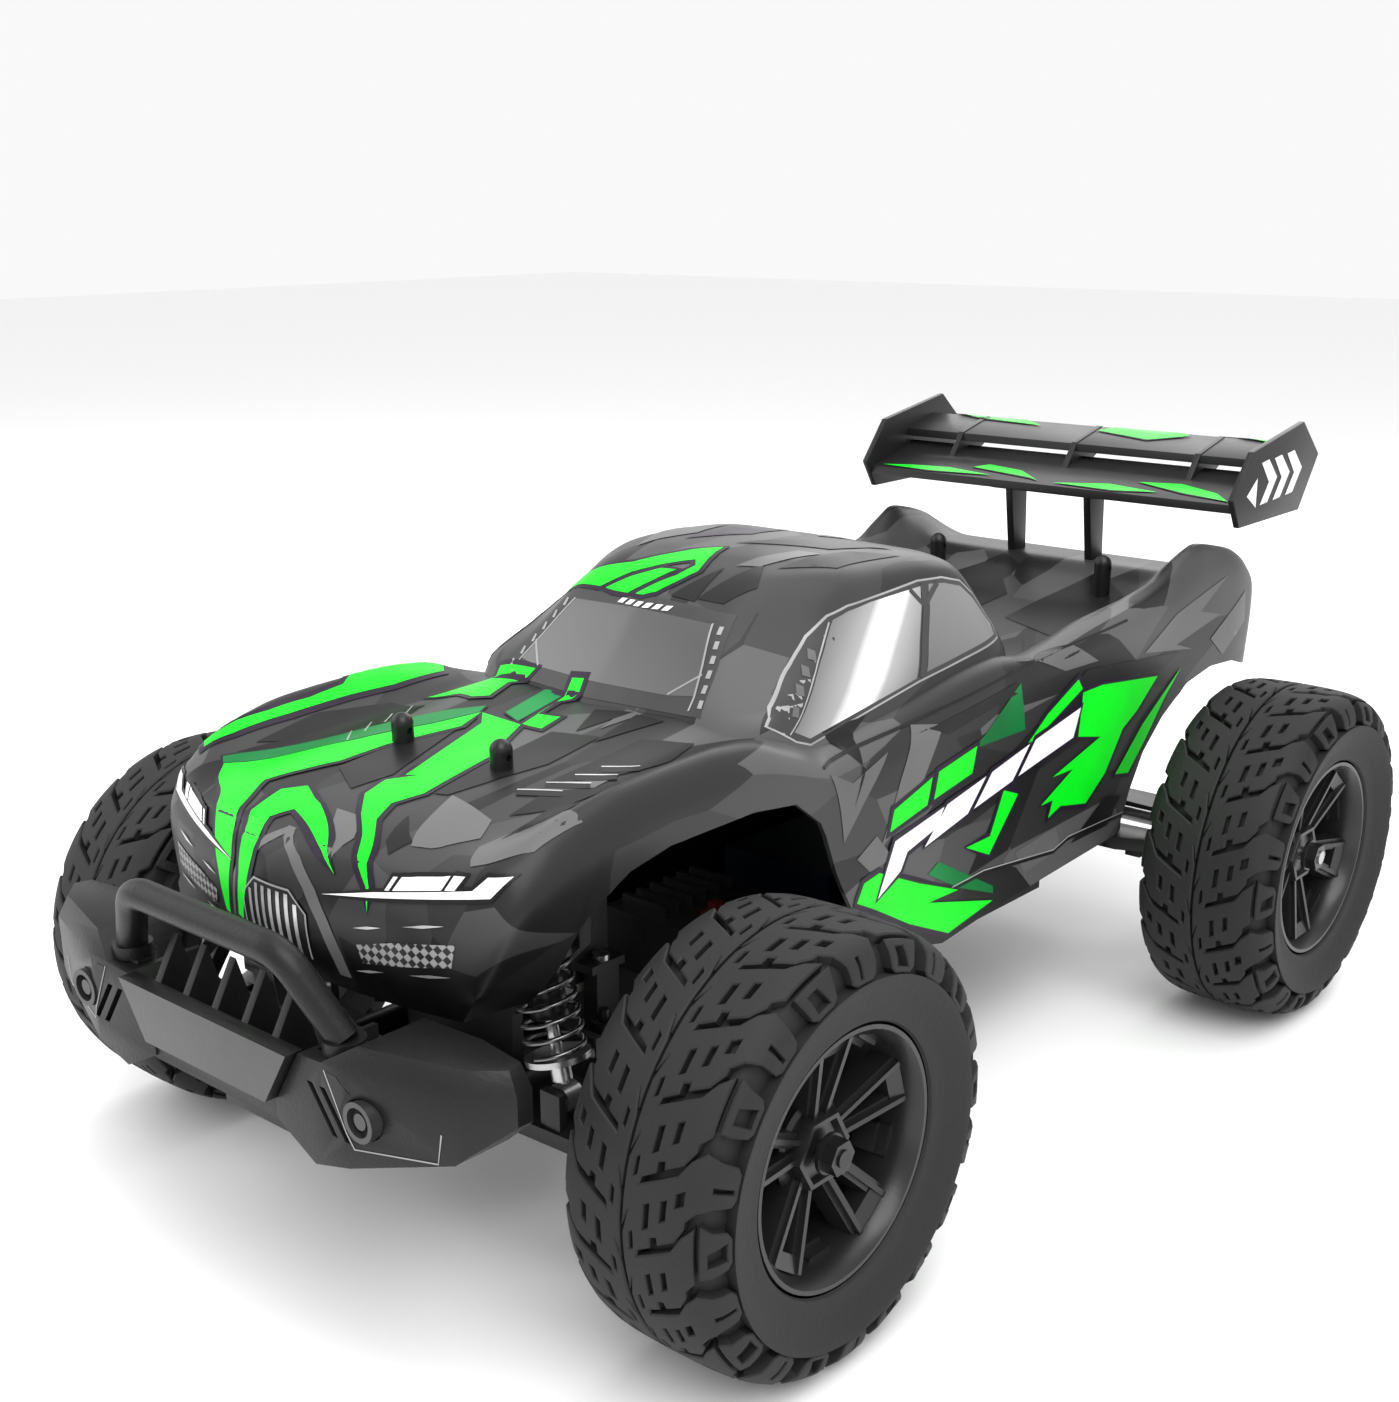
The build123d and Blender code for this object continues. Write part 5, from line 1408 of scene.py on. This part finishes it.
# Marks of the wing: across, along for the blades; along, height for the end plates.
BLADE_SHARDS = (
    ((-63, 139), (-44, 138.2), (-20, 139.6), (-38, 142.4), (-52, 141.2)),
    ((-30, 145), (-6, 141.2), (-2, 139.2), (-12, 146.2), (-26, 148.6)),
    ((4, 139), (26, 138.2), (40, 140.4), (22, 143)),
    ((30, 147), (48, 142), (64, 139), (58, 144.4), (44, 149)),
    ((-62, 176), (-44, 172), (-20, 170), (-36, 178), (-50, 180)),
    ((-40, 186), (-14, 181), (-4, 184), (-20, 188.4)),
    ((2, 170), (22, 166), (34, 172), (20, 178), (8, 175)),
    ((30, 185), (44, 176), (64, 172), (56, 182), (42, 188)),
)
CHEVRON = ((151, 160), (156, 160.6), (163, 154.6), (157.6, 147.4), (152.4, 147), (157.4, 153.6))
CHEVRON_STEP = 9.0
ARROW = ((142.6, 150.8), (149, 155.6), (149.6, 146.6))
POD_SCOOP = ((39.6, 75), (42.6, 75), (46.6, 71.8), (48, 61.6), (46.4, 60.6), (44.6, 62.4))
POD_OUTLINE = ((39, 75.2), (46.6, 60), (65.4, 61.4), (66.4, 68))
# Hood vents, body creases and bed slots, drawn as painted shade with painted highlights on some edges.
HOOD_VENTS = (
    ((30, -128), (37, -121)), ((32, -121), (38.5, -113.5)), ((33.5, -113.5), (39.5, -106)),
    ((34.5, -106), (40, -99)),
)
BELT_LINE = ((-55.6, 109.6), (-18.5, 112.3), (31, 117), (89.5, 120.6))
ROCKER_LINE = ((-9, 62), (18, 62.5), (56, 58), (64, 60), (97, 59))
BED_SLOTS = ((12, 52), (17, 54), (22, 56), (27, 58))


def print_lines(printer):
    """Hood vents, body creases and the slots of the bed, as painted shade in the vents, creases and slots,
    with painted highlights along one lip of each vent and just above the rocker crease.
    """
    for put in (tuple, mirrored_shape):
        for line in HOOD_VENTS:
            # Painted shade: a dark strip where the vent opens.
            printer.print("print_black", list(put(ribbon(line, 2.2))), ray_top, 0.3, 1.8)
            (x0, y0), (x1, y1) = line
            # Painted highlight: a thin bright line along one lip of the vent.
            edge = ribbon(((x0 - 0.9, y0 + 1.2), (x1 - 0.9, y1 + 1.2)), 0.45)
            printer.print("print_silver", put(edge), ray_top, 0.36, 1.8)
        for x, y in BED_SLOTS:
            # Painted shade in the slots of the bed.
            slot = ribbon(((x, y), (x + 4.0, y + 9.0)), 1.6)
            printer.print("print_black", put(slot), ray_top, 0.3, 1.8)
    for ray in (ray_left, ray_right):
        # Painted shade along the belt and rocker creases.
        printer.print("print_black", ribbon(BELT_LINE, 0.6), ray, 0.22, 1.8)
        printer.print("print_black", ribbon(ROCKER_LINE, 0.9), ray, 0.22, 1.8)
        # Painted highlight just above the rocker crease.
        glint = ribbon([(y, z + 0.8) for y, z in ROCKER_LINE], 0.35)
        printer.print("print_line", glint, ray, 0.22, 1.8)


def wing_and_bumper():
    """Rounded copies of the wing and bumper with their printed marks and recess lines."""
    pieces = {node: moulded(node, width, slot) for node, (width, slot) in MOULDED.items()}
    bumper = moulded("front_bumper", 0.45, "bumper_plastic", "bumper_plate", centre_plate)
    wing = Livery([pieces["rear_wing"], pieces["wing_end_plates"]])
    for shape in BLADE_SHARDS:
        wing.shard("print_green", shape, ray_top, 0.7)
    for ray in (ray_left, ray_right):
        for k in range(3):
            shape = [(y + k * CHEVRON_STEP, z + k * 0.5) for y, z in CHEVRON]
            wing.print("print_white", shape, ray, 0.12)
        wing.print("print_white", ARROW, ray, 0.12)
    wing.finish("wing_mark_", "shell")
    marks = Livery([bumper])
    for put in (tuple, mirrored_shape):
        marks.print("print_black", put(POD_SCOOP), ray_front, 0.1, 1.8)
        marks.print("print_line", list(put(ribbon(POD_OUTLINE, 0.35))), ray_front, 0.14, 1.8)
    marks.finish("bumper_mark_", "chassis")


# ------------------------------------------------------------------ stage
def stage():
    """Pale floor, white world and four soft studio lights."""
    scene = bpy.context.scene
    scene.view_settings.view_transform = "Standard"
    bpy.ops.mesh.primitive_plane_add(size=8.0, location=(0, 0, -0.0002))
    floor = bpy.context.object
    floor.name = "studio_floor"
    material, _, bsdf = shader("studio_paper")
    bsdf.inputs["Base Color"].default_value = (0.93, 0.93, 0.93, 1.0)
    bsdf.inputs["Roughness"].default_value = 0.9
    floor.data.materials.append(material)
    world = bpy.data.worlds.new("studio")
    scene.world = world
    world.use_nodes = True
    world.node_tree.nodes["Background"].inputs["Color"].default_value = (1.0, 1.0, 1.0, 1.0)
    world.node_tree.nodes["Background"].inputs["Strength"].default_value = 0.95
    for name, place, size, power in (
        ("key", (0.55, -0.5, 0.95), 0.8, 9.0),
        ("fill", (-0.9, -0.5, 0.6), 0.9, 3.0),
        ("rim", (-0.3, 0.95, 0.7), 0.8, 4.0),
        ("top", (0.1, 0.0, 1.2), 1.0, 5.0),
    ):
        light = bpy.data.lights.new(name, "AREA")
        light.shape = "SQUARE"
        light.size = size
        light.energy = power
        lamp = bpy.data.objects.new(name, light)
        lamp.location = place
        aim = Vector((0, 0, 0.07)) - Vector(place)
        lamp.rotation_euler = aim.to_track_quat("-Z", "Y").to_euler()
        scene.collection.objects.link(lamp)


def camera():
    """Camera at the front left, a little above the truck."""
    azimuth, elevation, roll = radians(41.68), radians(19.774), radians(-0.259)
    back = Vector((sin(azimuth) * cos(elevation), -cos(azimuth) * cos(elevation), sin(elevation)))
    right = Vector((0, 0, 1)).cross(back).normalized()
    up = back.cross(right)
    turned_right = right * cos(roll) + up * sin(roll)
    turned_up = up * cos(roll) - right * sin(roll)
    data = bpy.data.cameras.new("camera")
    data.sensor_width = 36.0
    data.sensor_fit = "AUTO"
    data.lens = 46.58
    data.shift_x = 0.0211
    data.shift_y = 0.1029
    data.clip_start = 0.01
    data.clip_end = 20.0
    eye = bpy.data.objects.new("camera", data)
    rotation = Matrix((turned_right, turned_up, back)).transposed()
    place = Vector((304.84, -386.34, 238.06)) * MM
    eye.matrix_world = Matrix.Translation(place) @ rotation.to_4x4()
    bpy.context.scene.collection.objects.link(eye)
    bpy.context.scene.camera = eye


stage()
camera()
finish_nodes()
wheels()
shell_pieces = body_shell()
livery = Livery(shell_pieces)
print_livery(livery)
print_glass(livery)
print_face(livery)
print_lines(livery)
livery.finish()
wing_and_bumper()
springs()
